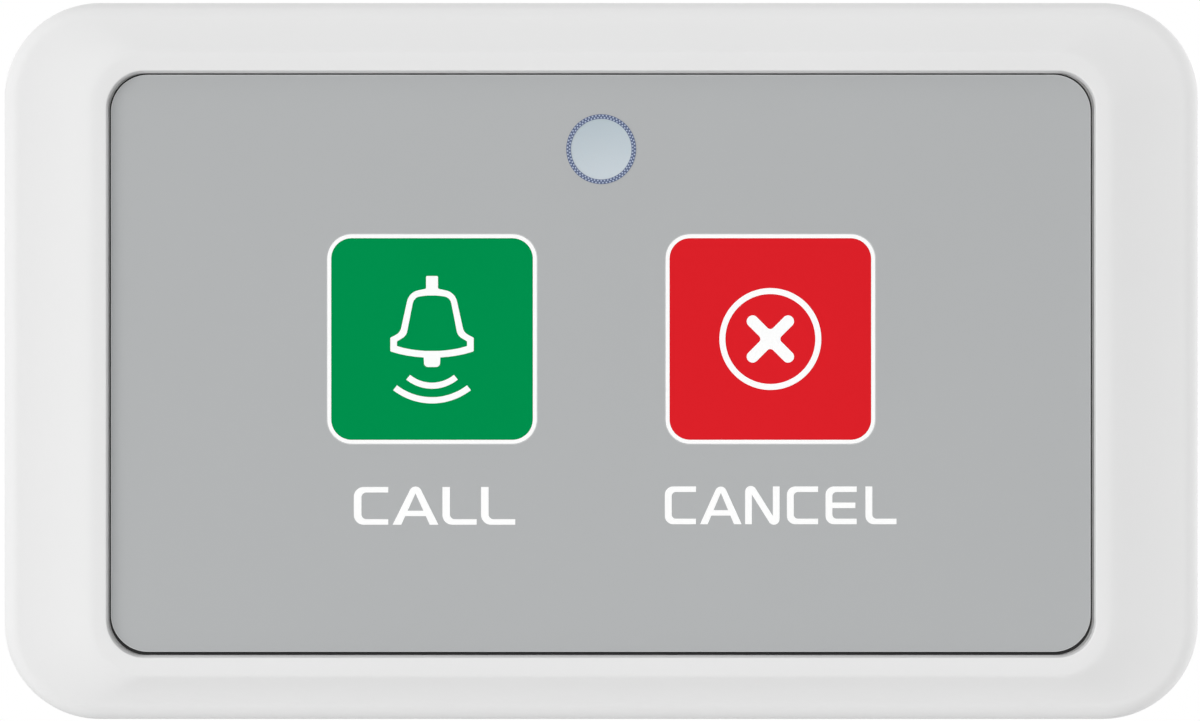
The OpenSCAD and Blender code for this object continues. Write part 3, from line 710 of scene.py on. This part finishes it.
def rim_rings():
    """Rings up the housing's outside, over its crown and rim and down the recess's wall.

    The extra ones beside a turn hold the flat stretch's shading.
    """
    crown_z = RIM_Z - CROWN_DROP
    edge_z = crown_z - EDGE_R
    side, hold = outline(HOUSING_W, HOUSING_H, CORNER_R), EDGE_R / 4
    rings = [(side, COVER_Z), (side, COVER_Z + hold), (side, edge_z - hold)]
    round_steps, crown_steps, bead_steps, lip_steps = 9, 30, 10, 5
    for step in range(round_steps + 1):
        a = math.radians(90 * step / round_steps)
        off = EDGE_R * (1 - math.cos(a))
        loop = outline(HOUSING_W - 2 * off, HOUSING_H - 2 * off, CORNER_R - off)
        rings.append((loop, edge_z + EDGE_R * math.sin(a)))
    for step in range(1, crown_steps + 1):
        s = step / crown_steps
        w = between(HOUSING_W - 2 * EDGE_R, RECESS_W + 2 * RIM_SIDE_W, s)
        h = between(HOUSING_H - 2 * EDGE_R, RECESS_H + 2 * RIM_TOP_W, s)
        r = between(CORNER_R - EDGE_R, RECESS_R + (RIM_SIDE_W + RIM_TOP_W) / 2, s)
        rings.append((outline(w, h, r, RECESS_DROP * s), crown_z + CROWN_DROP * crown_rise(s)))
    for step in range(1, bead_steps):
        across, up = (between(width, LIP_R, step / bead_steps) for width in (RIM_SIDE_W, RIM_TOP_W))
        loop = outline(RECESS_W + 2 * across, RECESS_H + 2 * up, RECESS_R + (across + up) / 2, RECESS_DROP)
        rings.append((loop, RIM_Z - BEAD_DROP * (step / bead_steps) ** 2))
    for step in range(lip_steps + 1):
        a = math.radians(90 * step / lip_steps)
        off = LIP_R * (1 - math.sin(a))
        loop = outline(RECESS_W + 2 * off, RECESS_H + 2 * off, RECESS_R + off, RECESS_DROP)
        rings.append((loop, RIM_Z - BEAD_DROP - LIP_R * (1 - math.cos(a))))
    foot = outline(RECESS_W - 2 * SIDE_LEAN, RECESS_H - 2 * TOP_LEAN, RECESS_R - SIDE_LEAN, RECESS_DROP)
    hold_z = between(FACE_Z, WEB_TOP, 0.2)
    return rings + [(foot, FACE_Z), (foot, hold_z), (foot, WEB_TOP)]


def key_loop(at, w, r, steps=16):
    """A rounded square round a key's middle."""
    return moved(outline(w, w, r, steps=steps), at.x, at.y)


def web_openings():
    """The holes of the web for the keys and the light guide."""
    holes = [key_loop(at, KEY_W, KEY_R, steps=10) for at in (CALL_AT, CANCEL_AT)]
    holes.append(circle(LENS_R + LENS_WEB_GAP, LENS_AT.x, LENS_AT.y))
    return [hole[::-1] for hole in holes]


def housing_bosses():
    """The eight screw bosses inside, as one object of separate tubes."""
    bm = bmesh.new()
    kinds = [
        (BOSS_AT, BOSS_D, BOSS_BORE, BOSS_FOOT, WEB_Z + HOLLOW_H, BOSS_BORE_TOP),
        (BOARD_BOSS_AT, BOARD_BOSS_D, BOARD_BOSS_BORE, BOARD_BOSS_FOOT, WEB_Z, BOARD_BOSS_BORE_TOP),
    ]
    for (x, y), d, bore, foot, ceiling, bore_top in kinds:
        top = ceiling + BOSS_SUNK
        profile = [
            (0, top), (d / 2, top), (d / 2, foot), (bore / 2, foot), (bore / 2, bore_top), (0, bore_top),
        ]
        for side in (-1, 1):
            for end in (-1, 1):
                add_lathe(bm, profile, side * x, end * y, steps=40)
    return piece(bm, "bosses")


def make_housing():
    """The moulded front: its rim, its recess with the web, the hollow under the rim and the bosses."""
    bm = bmesh.new()
    rows = add_rows(bm, rim_rings())
    add_strip(bm, rows)
    foot_w, foot_h = RECESS_W - 2 * SIDE_LEAN, RECESS_H - 2 * TOP_LEAN
    guard = outline(
        foot_w + 2 * HOLLOW_WALL, foot_h + 2 * HOLLOW_WALL, RECESS_R - SIDE_LEAN + HOLLOW_WALL, RECESS_DROP
    )
    cavity = outline(HOUSING_W - 2 * WALL_T, HOUSING_H - 2 * WALL_T, CORNER_R - WALL_T)
    ceiling = WEB_Z + HOLLOW_H
    inner = add_rows(bm, [(guard, WEB_Z), (guard, ceiling), (cavity, ceiling), (cavity, COVER_Z)])
    add_strip(bm, inner)
    add_strip(bm, [inner[-1], rows[0]])
    holes = [add_rows(bm, [(loop, WEB_Z), (loop, WEB_TOP)]) for loop in web_openings()]
    for hole in holes:
        add_strip(bm, hole)
    add_sheet(bm, [rows[-1]] + [hole[1] for hole in holes])
    add_sheet(bm, [inner[0]] + [hole[0] for hole in holes])
    shell = joined(piece(bm, "housing_shell"), housing_bosses())
    shell.data.set_sharp_from_angle(angle=math.radians(SHARP))
    shell = even_shading(shell)
    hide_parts("front_housing")
    return dress(shell, WHITE_SHELL, "housing")


# Panel, keys and window


def make_panel():
    """The printed panel, with its edge eased and its openings for the keys and the window."""
    middle = (PANEL_LOW + PANEL_HIGH) / 2
    size = PANEL_HIGH - PANEL_LOW
    loops = [moved(outline(size.x, size.y, PANEL_R), middle.x, middle.y)]
    loops += [key_loop(at, KEY_W, KEY_R) for at in (CALL_AT, CANCEL_AT)]
    loops.append(circle(LENS_R + LENS_PANEL_GAP, LENS_AT.x, LENS_AT.y))
    bm = bmesh.new()
    add_plate(bm, loops, PANEL_LOW.z, FACE_Z, edge=0.06)
    panel = piece(bm, "panel_film", sharp=10)
    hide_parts("panel_overlay")
    dress(panel, PANEL_GREY, "housing")
    # The eased edge takes the lighter colour, a painted highlight round the panel
    paint_bevel(panel, PANEL_EDGE_HIGHLIGHT)
    return panel


def make_adhesive():
    """The adhesive sheet, black and reaching past the panel nearly to the recess's wall, so that it shows as
    a dark line in the gap round the panel: a real adhesive whose black there is painted shade for the gap's
    shadow.
    """
    # The sheet reaches past the panel into the gap, so its black shows there as painted shade
    past_panel, wall_clear, hole_clear = 0.1, 0.03, 0.3
    middle = (PANEL_LOW + PANEL_HIGH) / 2
    w, h = PANEL_HIGH.x - PANEL_LOW.x + 2 * past_panel, RECESS_H - 2 * (TOP_LEAN + wall_clear)
    loops = [moved(outline(w, h, PANEL_R, RECESS_DROP), middle.x, 0)]
    wide, r = KEY_W + 2 * hole_clear, KEY_R + hole_clear
    loops += [key_loop(at, wide, r, steps=10) for at in (CALL_AT, CANCEL_AT)]
    loops.append(circle(LENS_R + hole_clear, LENS_AT.x, LENS_AT.y))
    bm = bmesh.new()
    add_plate(bm, loops, WEB_TOP, PANEL_LOW.z)
    sheet = piece(bm, "adhesive_sheet_gap_shade")
    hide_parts("panel_adhesive")
    return dress(sheet, ADHESIVE_AND_GAP_SHADE, "housing")


def make_key_film(name, node, at, material, body):
    """A key's printed face."""
    bm = bmesh.new()
    add_plate(bm, [key_loop(at, FILM_W, FILM_R)], FILM_LOW.z, FACE_Z, edge=0.02)
    film = piece(bm, name, sharp=10)
    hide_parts(node)
    return dress(film, material, body)


def make_border(name, node, at):
    """The white border round a key, in rings from the key's edge out to the film's edge."""
    steps = 6
    widths = [KEY_W + (FILM_W - KEY_W) * step / steps for step in range(steps + 1)]
    rings, shares = [], []
    for z, order in ((FILM_LOW.z, range(steps, -1, -1)), (FACE_Z, range(steps + 1))):
        for step in order:
            r = KEY_R + (FILM_R - KEY_R) * step / steps
            rings.append((key_loop(at, widths[step], r), z))
            shares.append(step / steps)
    bm = bmesh.new()
    add_strip(bm, add_rows(bm, rings), closed=True)
    border = piece(bm, name)
    dress(border, WHITE_INK)
    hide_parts(node)
    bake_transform(border)
    return border


def make_window():
    """The light guide: a barrel with a collar behind the web and a shallow dish in its face."""
    low_z, collar_t, collar_r = LENS_LOW.z, 0.8, LENS_HIGH.x - LENS_AT.x
    collar_z = WEB_Z - collar_t
    chamfer, top_chamfer, rim = 0.1, 0.05, 0.06
    profile = [
        (0, low_z), (LENS_R - chamfer, low_z), (LENS_R, low_z + chamfer), (LENS_R, collar_z),
        (collar_r - chamfer, collar_z), (collar_r, collar_z + chamfer), (collar_r, WEB_Z - top_chamfer),
        (collar_r - top_chamfer, WEB_Z), (LENS_R, WEB_Z), (LENS_R, FACE_Z - rim),
    ]
    rim_steps, dish_steps = 4, 12
    for step in range(1, rim_steps + 1):
        a = math.radians(90 * step / rim_steps)
        profile.append((LENS_R - rim * (1 - math.cos(a)), FACE_Z - rim * (1 - math.sin(a))))
    ledge, ledge_drop, dish = 0.03, 0.01, 0.1
    dish_r = LENS_R - rim - ledge
    for step in range(dish_steps + 1):
        share = 1 - step / dish_steps
        profile.append((dish_r * share, FACE_Z - ledge_drop - dish * (1 - share * share)))
    bm = bmesh.new()
    add_lathe(bm, profile, LENS_AT.x, LENS_AT.y)
    window = piece(bm, "light_window", sharp=40)
    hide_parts("indicator_lens")
    return dress(window, GUIDE, "housing")


# Prints


def make_ink(name, shapes, at, material, body):
    """Ink on the panel's face: each shape is a loop followed by its holes."""
    bm = bmesh.new()
    for loops in shapes:
        add_plate(bm, [moved(loop, at[0], at[1]) for loop in loops], FACE_Z, FACE_Z + INK_T)
    return dress(piece(bm, name), material, body)


def letter_c(w, stem, bar, r):
    """A squarish C: its width, upright stroke, level strokes and corner radius."""
    return [filleted([
        (w, CAP_H, 0), (0, CAP_H, r), (0, 0, r), (w, 0, 0), (w, bar, 0), (stem, bar, r / 2),
        (stem, CAP_H - bar, r / 2), (w, CAP_H - bar, 0),
    ])]


def letter_l(w, stem, bar, r):
    return [filleted([
        (0, CAP_H, 0), (0, 0, r), (w, 0, 0), (w, bar, 0), (stem, bar, r / 2), (stem, CAP_H, 0),
    ])]


def letter_a(w, foot, peak, r):
    """An A with a round head: its width, the foot of a leg, where its sides would meet, its radius."""
    middle = w / 2
    bar_low, bar_high, hole_top = 0.65, 1.06, 2.36

    def inner(y):
        return foot + (middle - foot) * y / hole_top

    outside = filleted([
        (0, 0, 0), (foot, 0, 0), (inner(bar_low), bar_low, 0), (w - inner(bar_low), bar_low, 0),
        (w - foot, 0, 0), (w, 0, 0), (middle, peak, r),
    ])
    return [outside, [(inner(bar_high), bar_high), (w - inner(bar_high), bar_high), (middle, hole_top)]]


def letter_n(w, stem, notch, past, r):
    """An N: its width, its uprights, its notches' depth, and its corners' overshoot and radius."""
    return [filleted([
        (0, 0, 0), (stem, 0, 0), (stem, CAP_H - notch, 0), (w, -past, r), (w, CAP_H, 0),
        (w - stem, CAP_H, 0), (w - stem, notch, 0), (0, CAP_H + past, r),
    ])]


def letter_e(w, stem, bar, r):
    low, high, middle_w = (CAP_H - bar) / 2, (CAP_H + bar) / 2, w - 0.1
    return [filleted([
        (w, CAP_H, 0), (0, CAP_H, r), (0, 0, r), (w, 0, 0), (w, bar, 0), (stem, bar, r / 2),
        (stem, low, 0), (middle_w, low, 0), (middle_w, high, 0), (stem, high, 0),
        (stem, CAP_H - bar, r / 2), (w, CAP_H - bar, 0),
    ])]


def word(letters, gaps):
    """The shapes and the width of letters side by side, each given as its function and its sizes."""
    shapes, x = [], 0.0
    for (letter, sizes), gap in zip(letters, [*gaps, 0]):
        shapes.append([moved(loop, x, 0) for loop in letter(**sizes)])
        x += sizes["w"] + gap
    return shapes, x


def call_word():
    square = {"bar": 0.42, "r": 0.74}
    letter_l_sizes = {"w": 2.58, "stem": 0.57, **square}
    letters = [
        (letter_c, {"w": 2.6, "stem": 0.58, **square}),
        (letter_a, {"w": 3.46, "foot": 0.66, "peak": 3.47, "r": 0.47}),
        (letter_l, letter_l_sizes),
        (letter_l, letter_l_sizes),
    ]
    return word(letters, gaps=(0.32, 0.3, 0.33))


def cancel_word():
    square = {"stem": 0.52, "bar": 0.42, "r": 0.62}
    letters = [
        (letter_c, {"w": 2.35, **square}),
        (letter_a, {"w": 3.14, "foot": 0.58, "peak": 3.47, "r": 0.44}),
        (letter_n, {"w": 2.6, "stem": 0.51, "notch": 0.62, "past": 1.11, "r": 0.43}),
        (letter_c, {"w": 2.35, **square}),
        (letter_e, {"w": 2.35, **square}),
        (letter_l, {"w": 2.34, **square}),
    ]
    return word(letters, gaps=(0.3, 0.26, 0.55, 0.56, 0.66))


def mirrored(right):
    """A loop from its right half, given from bottom to top as corners."""
    return right + [(-x, y, r) for x, y, r in reversed(right)]


def bell_shapes():
    """A bell drawn as an outline, with two arcs of sound under it."""

    def sag(edge, low, high):
        """Points of a shallow bowl, from the middle out."""
        return [(edge * s, low + (high - low) * s * s, 0) for s in (0.2, 0.4, 0.6, 0.8)]

    brim, hollow, stalk = 3.14, 2.64, 0.45
    outer = [(0.59, -2.11, 0.3)] + sag(brim, -1.41, -0.95)
    outer += [
        (brim, -0.93, 0.1), (brim, 0.09, 0.08), (2.4, 0.5, 0.75), (1.73, 3.53, 1.1), (stalk, 3.79, 0.12),
        (stalk, 4.75, 0.1),
    ]
    inner = sag(hollow, -0.91, -0.55) + [
        (hollow, -0.53, 0.04), (hollow, -0.18, 0.04), (1.935, 0.25, 0.75), (1.36, 3.16, 0.65),
        (0.35, 3.28, 1.2),
    ]
    shapes = [[filleted(mirrored(outer)), filleted(mirrored(inner))]]
    for r, centre_y, half, stroke in ((2.845, -0.675, 39.2, 0.46), (4.563, -0.057, 37.6, 0.47)):
        shapes.append([moved(arc_band(r, stroke, -90 - half, -90 + half), 0, centre_y)])
    return shapes


def cross_shapes():
    """A round-ended cross in a ring."""
    half, reach, crotch_r, ring_r, ring_bore = 0.445, 2.33, 0.3, 3.84, 3.39
    tip_r = half * 0.97
    arm = [(reach, -half, tip_r), (reach, half, tip_r), (half, half, crotch_r)]
    corners = []
    for quarter in range(4):
        c, s = round(math.cos(quarter * math.pi / 2)), round(math.sin(quarter * math.pi / 2))
        corners += [(x * c - y * s, x * s + y * c, r) for x, y, r in arm]
    return [[turned(filleted(corners), 45)], [circle(ring_r, steps=96), circle(ring_bore, steps=96)]]


def ring_dots_tree(material):
    """Geometry nodes that set two staggered rows of small dots on a ring."""
    tree = bpy.data.node_groups.new("ring_dots", "GeometryNodeTree")
    sizes = {
        "Ring radius": RING_R * MM, "Row gap": RING_ROW_GAP * MM, "Dot radius": RING_DOT_R * MM,
        "Dot height": INK_T * MM,
    }
    tree.interface.new_socket("Count", in_out="INPUT", socket_type="NodeSocketInt")
    for name in sizes:
        tree.interface.new_socket(name, in_out="INPUT", socket_type="NodeSocketFloat")
    tree.interface.new_socket("Geometry", in_out="OUTPUT", socket_type="NodeSocketGeometry")
    given, out = tree.nodes.new("NodeGroupInput"), tree.nodes.new("NodeGroupOutput")
    dot = tree.nodes.new("GeometryNodeMeshCylinder")
    dot.inputs["Vertices"].default_value = 10
    wire(tree, given.outputs["Dot radius"], dot.inputs["Radius"])
    wire(tree, given.outputs["Dot height"], dot.inputs["Depth"])
    join = tree.nodes.new("GeometryNodeJoinGeometry")
    for row, sign in enumerate((-1, 1)):
        ring = tree.nodes.new("GeometryNodeMeshCircle")
        half = add_math(tree, "MULTIPLY", given.outputs["Row gap"], sign / 2)
        wire(tree, add_math(tree, "ADD", given.outputs["Ring radius"], half), ring.inputs["Radius"])
        wire(tree, given.outputs["Count"], ring.inputs["Vertices"])
        put = tree.nodes.new("GeometryNodeInstanceOnPoints")
        wire(tree, ring.outputs["Mesh"], put.inputs["Points"])
        wire(tree, dot.outputs["Mesh"], put.inputs["Instance"])
        turn = tree.nodes.new("GeometryNodeTransform")
        half_step = add_math(tree, "DIVIDE", row * math.pi, given.outputs["Count"])
        angle = tree.nodes.new("ShaderNodeCombineXYZ")
        wire(tree, half_step, angle.inputs["Z"])
        wire(tree, angle.outputs[0], turn.inputs["Rotation"])
        wire(tree, put.outputs[0], turn.inputs["Geometry"])
        wire(tree, turn.outputs[0], join.inputs[0])
    real = tree.nodes.new("GeometryNodeRealizeInstances")
    paint = tree.nodes.new("GeometryNodeSetMaterial")
    paint.inputs["Material"].default_value = material
    wire(tree, join.outputs[0], real.inputs[0])
    wire(tree, real.outputs[0], paint.inputs["Geometry"])
    wire(tree, paint.outputs[0], out.inputs[0])
    return tree, {"Count": RING_DOTS, **sizes}


def grown(name, tree, values):
    """The plain mesh that a geometry node tree makes with these values."""
    obj = add_object(name, bpy.data.meshes.new(name))
    nodes = obj.modifiers.new("nodes", "NODES")
    nodes.node_group = tree
    for socket in tree.interface.items_tree:
        if socket.in_out == "INPUT" and socket.name in values:
            nodes[socket.identifier] = values[socket.name]
    return settle(obj)


def make_ring():
    """The printed ring round the window, with its dots."""
    loops = [circle(RING_R + RING_W / 2, steps=96), circle(RING_R - RING_W / 2, steps=96)]
    make_ink("window_ring", [loops], LENS_AT, RING_BLUE, "housing")
    tree, values = ring_dots_tree(DOT_BLUE)
    dots = grown("window_ring_dots", tree, values)
    upright = Matrix.Rotation(math.radians(90), 4, "X")
    dots.data.transform(Matrix.Translation(place(LENS_AT.x, LENS_AT.y, FACE_Z + INK_T)) @ upright)
    dress(dots, DOT_BLUE, "housing")


def make_prints():
    """The pictures on the keys, which ride with them, then the words and the window's ring."""
    make_ink("bell_print", bell_shapes(), CALL_AT, WHITE_INK, "call_key")
    make_ink("cross_print", cross_shapes(), CANCEL_AT, WHITE_INK, "cancel_key")
    words = {"call_word": (call_word, CALL_WORD_AT), "cancel_word": (cancel_word, CANCEL_WORD_AT)}
    for name, (spell, (middle, foot)) in words.items():
        shapes, width = spell()
        make_ink(name, shapes, (middle - width / 2, foot), WHITE_INK, "housing")
    make_ring()


# Back and inside


def make_arrow():
    """The raised turn arrow on the battery cap: a bent bar with a pointed head."""
    tip = math.radians(ARROW_FROM - ARROW_HEAD_TURN)
    root = math.radians(ARROW_FROM + ARROW_HEAD_LAP)
    corners = [(ARROW_R, tip), (ARROW_R + ARROW_HEAD_W / 2, root), (ARROW_R - ARROW_HEAD_W / 2, root)]
    head = [(r * math.cos(a), r * math.sin(a)) for r, a in corners]
    bm = bmesh.new()
    for loop in (arc_band(ARROW_R, ARROW_W, ARROW_FROM, ARROW_TO), head):
        add_plate(bm, [loop], CAP_BACK + ARROW_SUNK, CAP_BACK - ARROW_RISE, edge=ARROW_EDGE)
    dress(piece(bm, "turn_arrow"), WHITE_COVER, "battery_cap")


def make_back():
    """The grained cover, its screws and the battery cap with its turn arrow."""
    dress(dressed("rear_cover", "back_cover", edge=0.15), WHITE_COVER, "housing")
    dress(dressed("housing_screws", "back_screws", edge=0.1), ZINC, "housing")
    dress(dressed("battery_cap", "turn_cap", edge=0.12), WHITE_COVER, "battery_cap")
    make_arrow()


INNER_FINISHES = {
    "housing_seal": RUBBER, "cap_o_ring": RUBBER,
    "call_key_adhesive": ADHESIVE_AND_GAP_SHADE, "cancel_key_adhesive": ADHESIVE_AND_GAP_SHADE, "call_key": ACETAL, "cancel_key": ACETAL,
    "circuit_board": LAMINATE, "board_screws": ZINC, "indicator_led": LAMP_WHITE,
    "controller_chip": MOULD_BLACK, "chip_leads": TIN, "chip_components": CERAMIC,
    "transmitter_can": TIN, "crystal_can": NICKEL, "antenna_loop": BRASS,
    "negative_contact": BRASS, "positive_contact": BRASS, "coin_cell": NICKEL, "switch_terminals": TIN,
    "call_switch_base": MOULD_BLACK, "call_switch_cover": TIN, "call_switch_stem": MOULD_BLACK,
    "cancel_switch_base": MOULD_BLACK, "cancel_switch_cover": TIN, "cancel_switch_stem": MOULD_BLACK,
}


def make_dome(name, node):
    """A switch's snap dome: a thin shell with its foot on the floor and a flat top."""
    low, high = box_of(node)
    x, y, r = (low.x + high.x) / 2, (low.y + high.y) / 2, (high.x - low.x) / 2
    sheet, give = 0.09, 0.83
    flat = r / 2
    bm = bmesh.new()
    add_lathe(bm, [
        (0, high.z), (flat, high.z), (r, low.z), (r - sheet, low.z), (flat - sheet, high.z - sheet),
        (0, high.z - sheet),
    ], x, y, steps=48)
    dome = dress(piece(bm, name), TIN)
    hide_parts(node)
    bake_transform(dome)
    return dome


def make_inside():
    """Finishes for the CAD nodes that keep their shape, and the two snap domes."""
    for node, material in INNER_FINISHES.items():
        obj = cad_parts[node]
        obj.data.materials.clear()
        obj.data.materials.append(material)
    make_dome("call_dome", "call_switch_dome")
    make_dome("cancel_dome", "cancel_switch_dome")


make_housing()
make_panel()
make_adhesive()
make_key_film("call_film", "call_key_film", CALL_AT, CALL_GREEN, "call_key")
make_key_film("cancel_film", "cancel_key_film", CANCEL_AT, CANCEL_RED, "cancel_key")
make_border("call_border", "call_flexure", CALL_AT)
make_border("cancel_border", "cancel_flexure", CANCEL_AT)
make_window()
make_prints()
make_back()
make_inside()


# Stage, light and camera, in metres


def seen_directly(tree):
    """1 for what the camera, a gloss or a clear piece sees, and 0 for what lights the unit."""
    path = tree.nodes.new("ShaderNodeLightPath")
    sight = add_math(tree, "MAXIMUM", path.outputs["Is Camera Ray"], path.outputs["Is Glossy Ray"])
    return add_math(tree, "MAXIMUM", sight, path.outputs["Is Transmission Ray"])


def floor_pale():
    """A pale surface that fades into the white background away from the unit."""
    fade_from, fade_to = 0.12, 0.42
    material = new_material("floor_pale", Base_Color=(0.94, 0.94, 0.94, 1), Roughness=0.8)
    tree = material.node_tree
    flat = tree.nodes.new("ShaderNodeVectorMath")
    flat.operation = "MULTIPLY"
    flat.inputs[1].default_value = (1, 1, 0)
    wire(tree, object_place(tree), flat.inputs[0])
    far = tree.nodes.new("ShaderNodeVectorMath")
    far.operation = "LENGTH"
    wire(tree, flat.outputs[0], far.inputs[0])
    fade = tree.nodes.new("ShaderNodeMapRange")
    fade.interpolation_type = "SMOOTHSTEP"
    fade.inputs["From Min"].default_value = fade_from
    fade.inputs["From Max"].default_value = fade_to
    wire(tree, far.outputs["Value"], fade.inputs["Value"])
    white = tree.nodes.new("ShaderNodeEmission")
    blend = tree.nodes.new("ShaderNodeMixShader")
    wire(tree, add_math(tree, "MULTIPLY", fade.outputs[0], seen_directly(tree)), blend.inputs[0])
    wire(tree, tree.nodes["Principled BSDF"].outputs[0], blend.inputs[1])
    wire(tree, white.outputs[0], blend.inputs[2])
    wire(tree, blend.outputs[0], tree.nodes["Material Output"].inputs["Surface"])
    return material


def make_floor():
    """The pale floor under the unit."""
    radius, drop = 0.5, 0.03
    height = cad_box[0].z - drop
    mesh = bpy.data.meshes.new("floor")
    corners = [(x, y, height) for x, y in circle(radius)]
    mesh.from_pydata(corners, [], [range(len(corners))])
    mesh.materials.append(floor_pale())
    floor = add_object("floor", mesh)


def make_world(level):
    """A white background over an even grey light."""
    world = bpy.data.worlds.new("studio")
    bpy.context.scene.world = world
    world.use_nodes = True
    tree = world.node_tree
    background = tree.nodes["Background"]
    light = add_math(tree, "MULTIPLY", seen_directly(tree), 1 - level)
    wire(tree, add_math(tree, "ADD", light, level), background.inputs["Strength"])
    background.inputs["Color"].default_value = (1, 1, 1, 1)


def make_lamp(name, place_at, wide, high, power):
    """A soft box that faces the unit."""
    light = bpy.data.lights.new(name, "AREA")
    light.shape = "ELLIPSE"
    light.size = wide
    light.size_y = high
    light.energy = power
    lamp = add_object(name, light)
    lamp.location = place_at
    lamp.rotation_euler = (-Vector(place_at)).to_track_quat("-Z", "Y").to_euler()
    lamp.visible_camera = False
    lamp.visible_glossy = False


def make_camera():
    """Square-on, from far enough that the view hardly narrows with depth."""
    distance, view_width = 2.0, 0.09052
    aim_x, aim_y = -0.09 * MM, 0.04 * MM
    front = -(HOUSING_HIGH.z - CROWN_DROP - EDGE_R) * MM
    camera = bpy.data.cameras.new("camera")
    camera.sensor_width = 36
    camera.lens = camera.sensor_width * distance / view_width
    camera.clip_start, camera.clip_end = 0.1, 20
    obj = add_object("camera", camera)
    obj.location = (aim_x, front - distance, aim_y)
    obj.rotation_euler = (math.radians(90), 0, 0)
    bpy.context.scene.camera = obj


make_floor()
make_world(level=0.51)
make_lamp("front_light", (0, -2.9, 0.4), wide=1.6, high=0.7, power=10)
make_lamp("left_light", (-2.4, -1.7, 0.4), wide=1.8, high=0.7, power=37.5)
make_lamp("right_light", (2.9, 0.5, 0.4), wide=1.8, high=0.7, power=40)
make_lamp("top_light", (0, -1, 2.75), wide=1.8, high=1.2, power=8.5)
make_lamp("back_light", (-1.9, 2.2, 1.1), wide=1.2, high=0.7, power=14)
make_camera()
bpy.context.scene.view_settings.view_transform = "Standard"
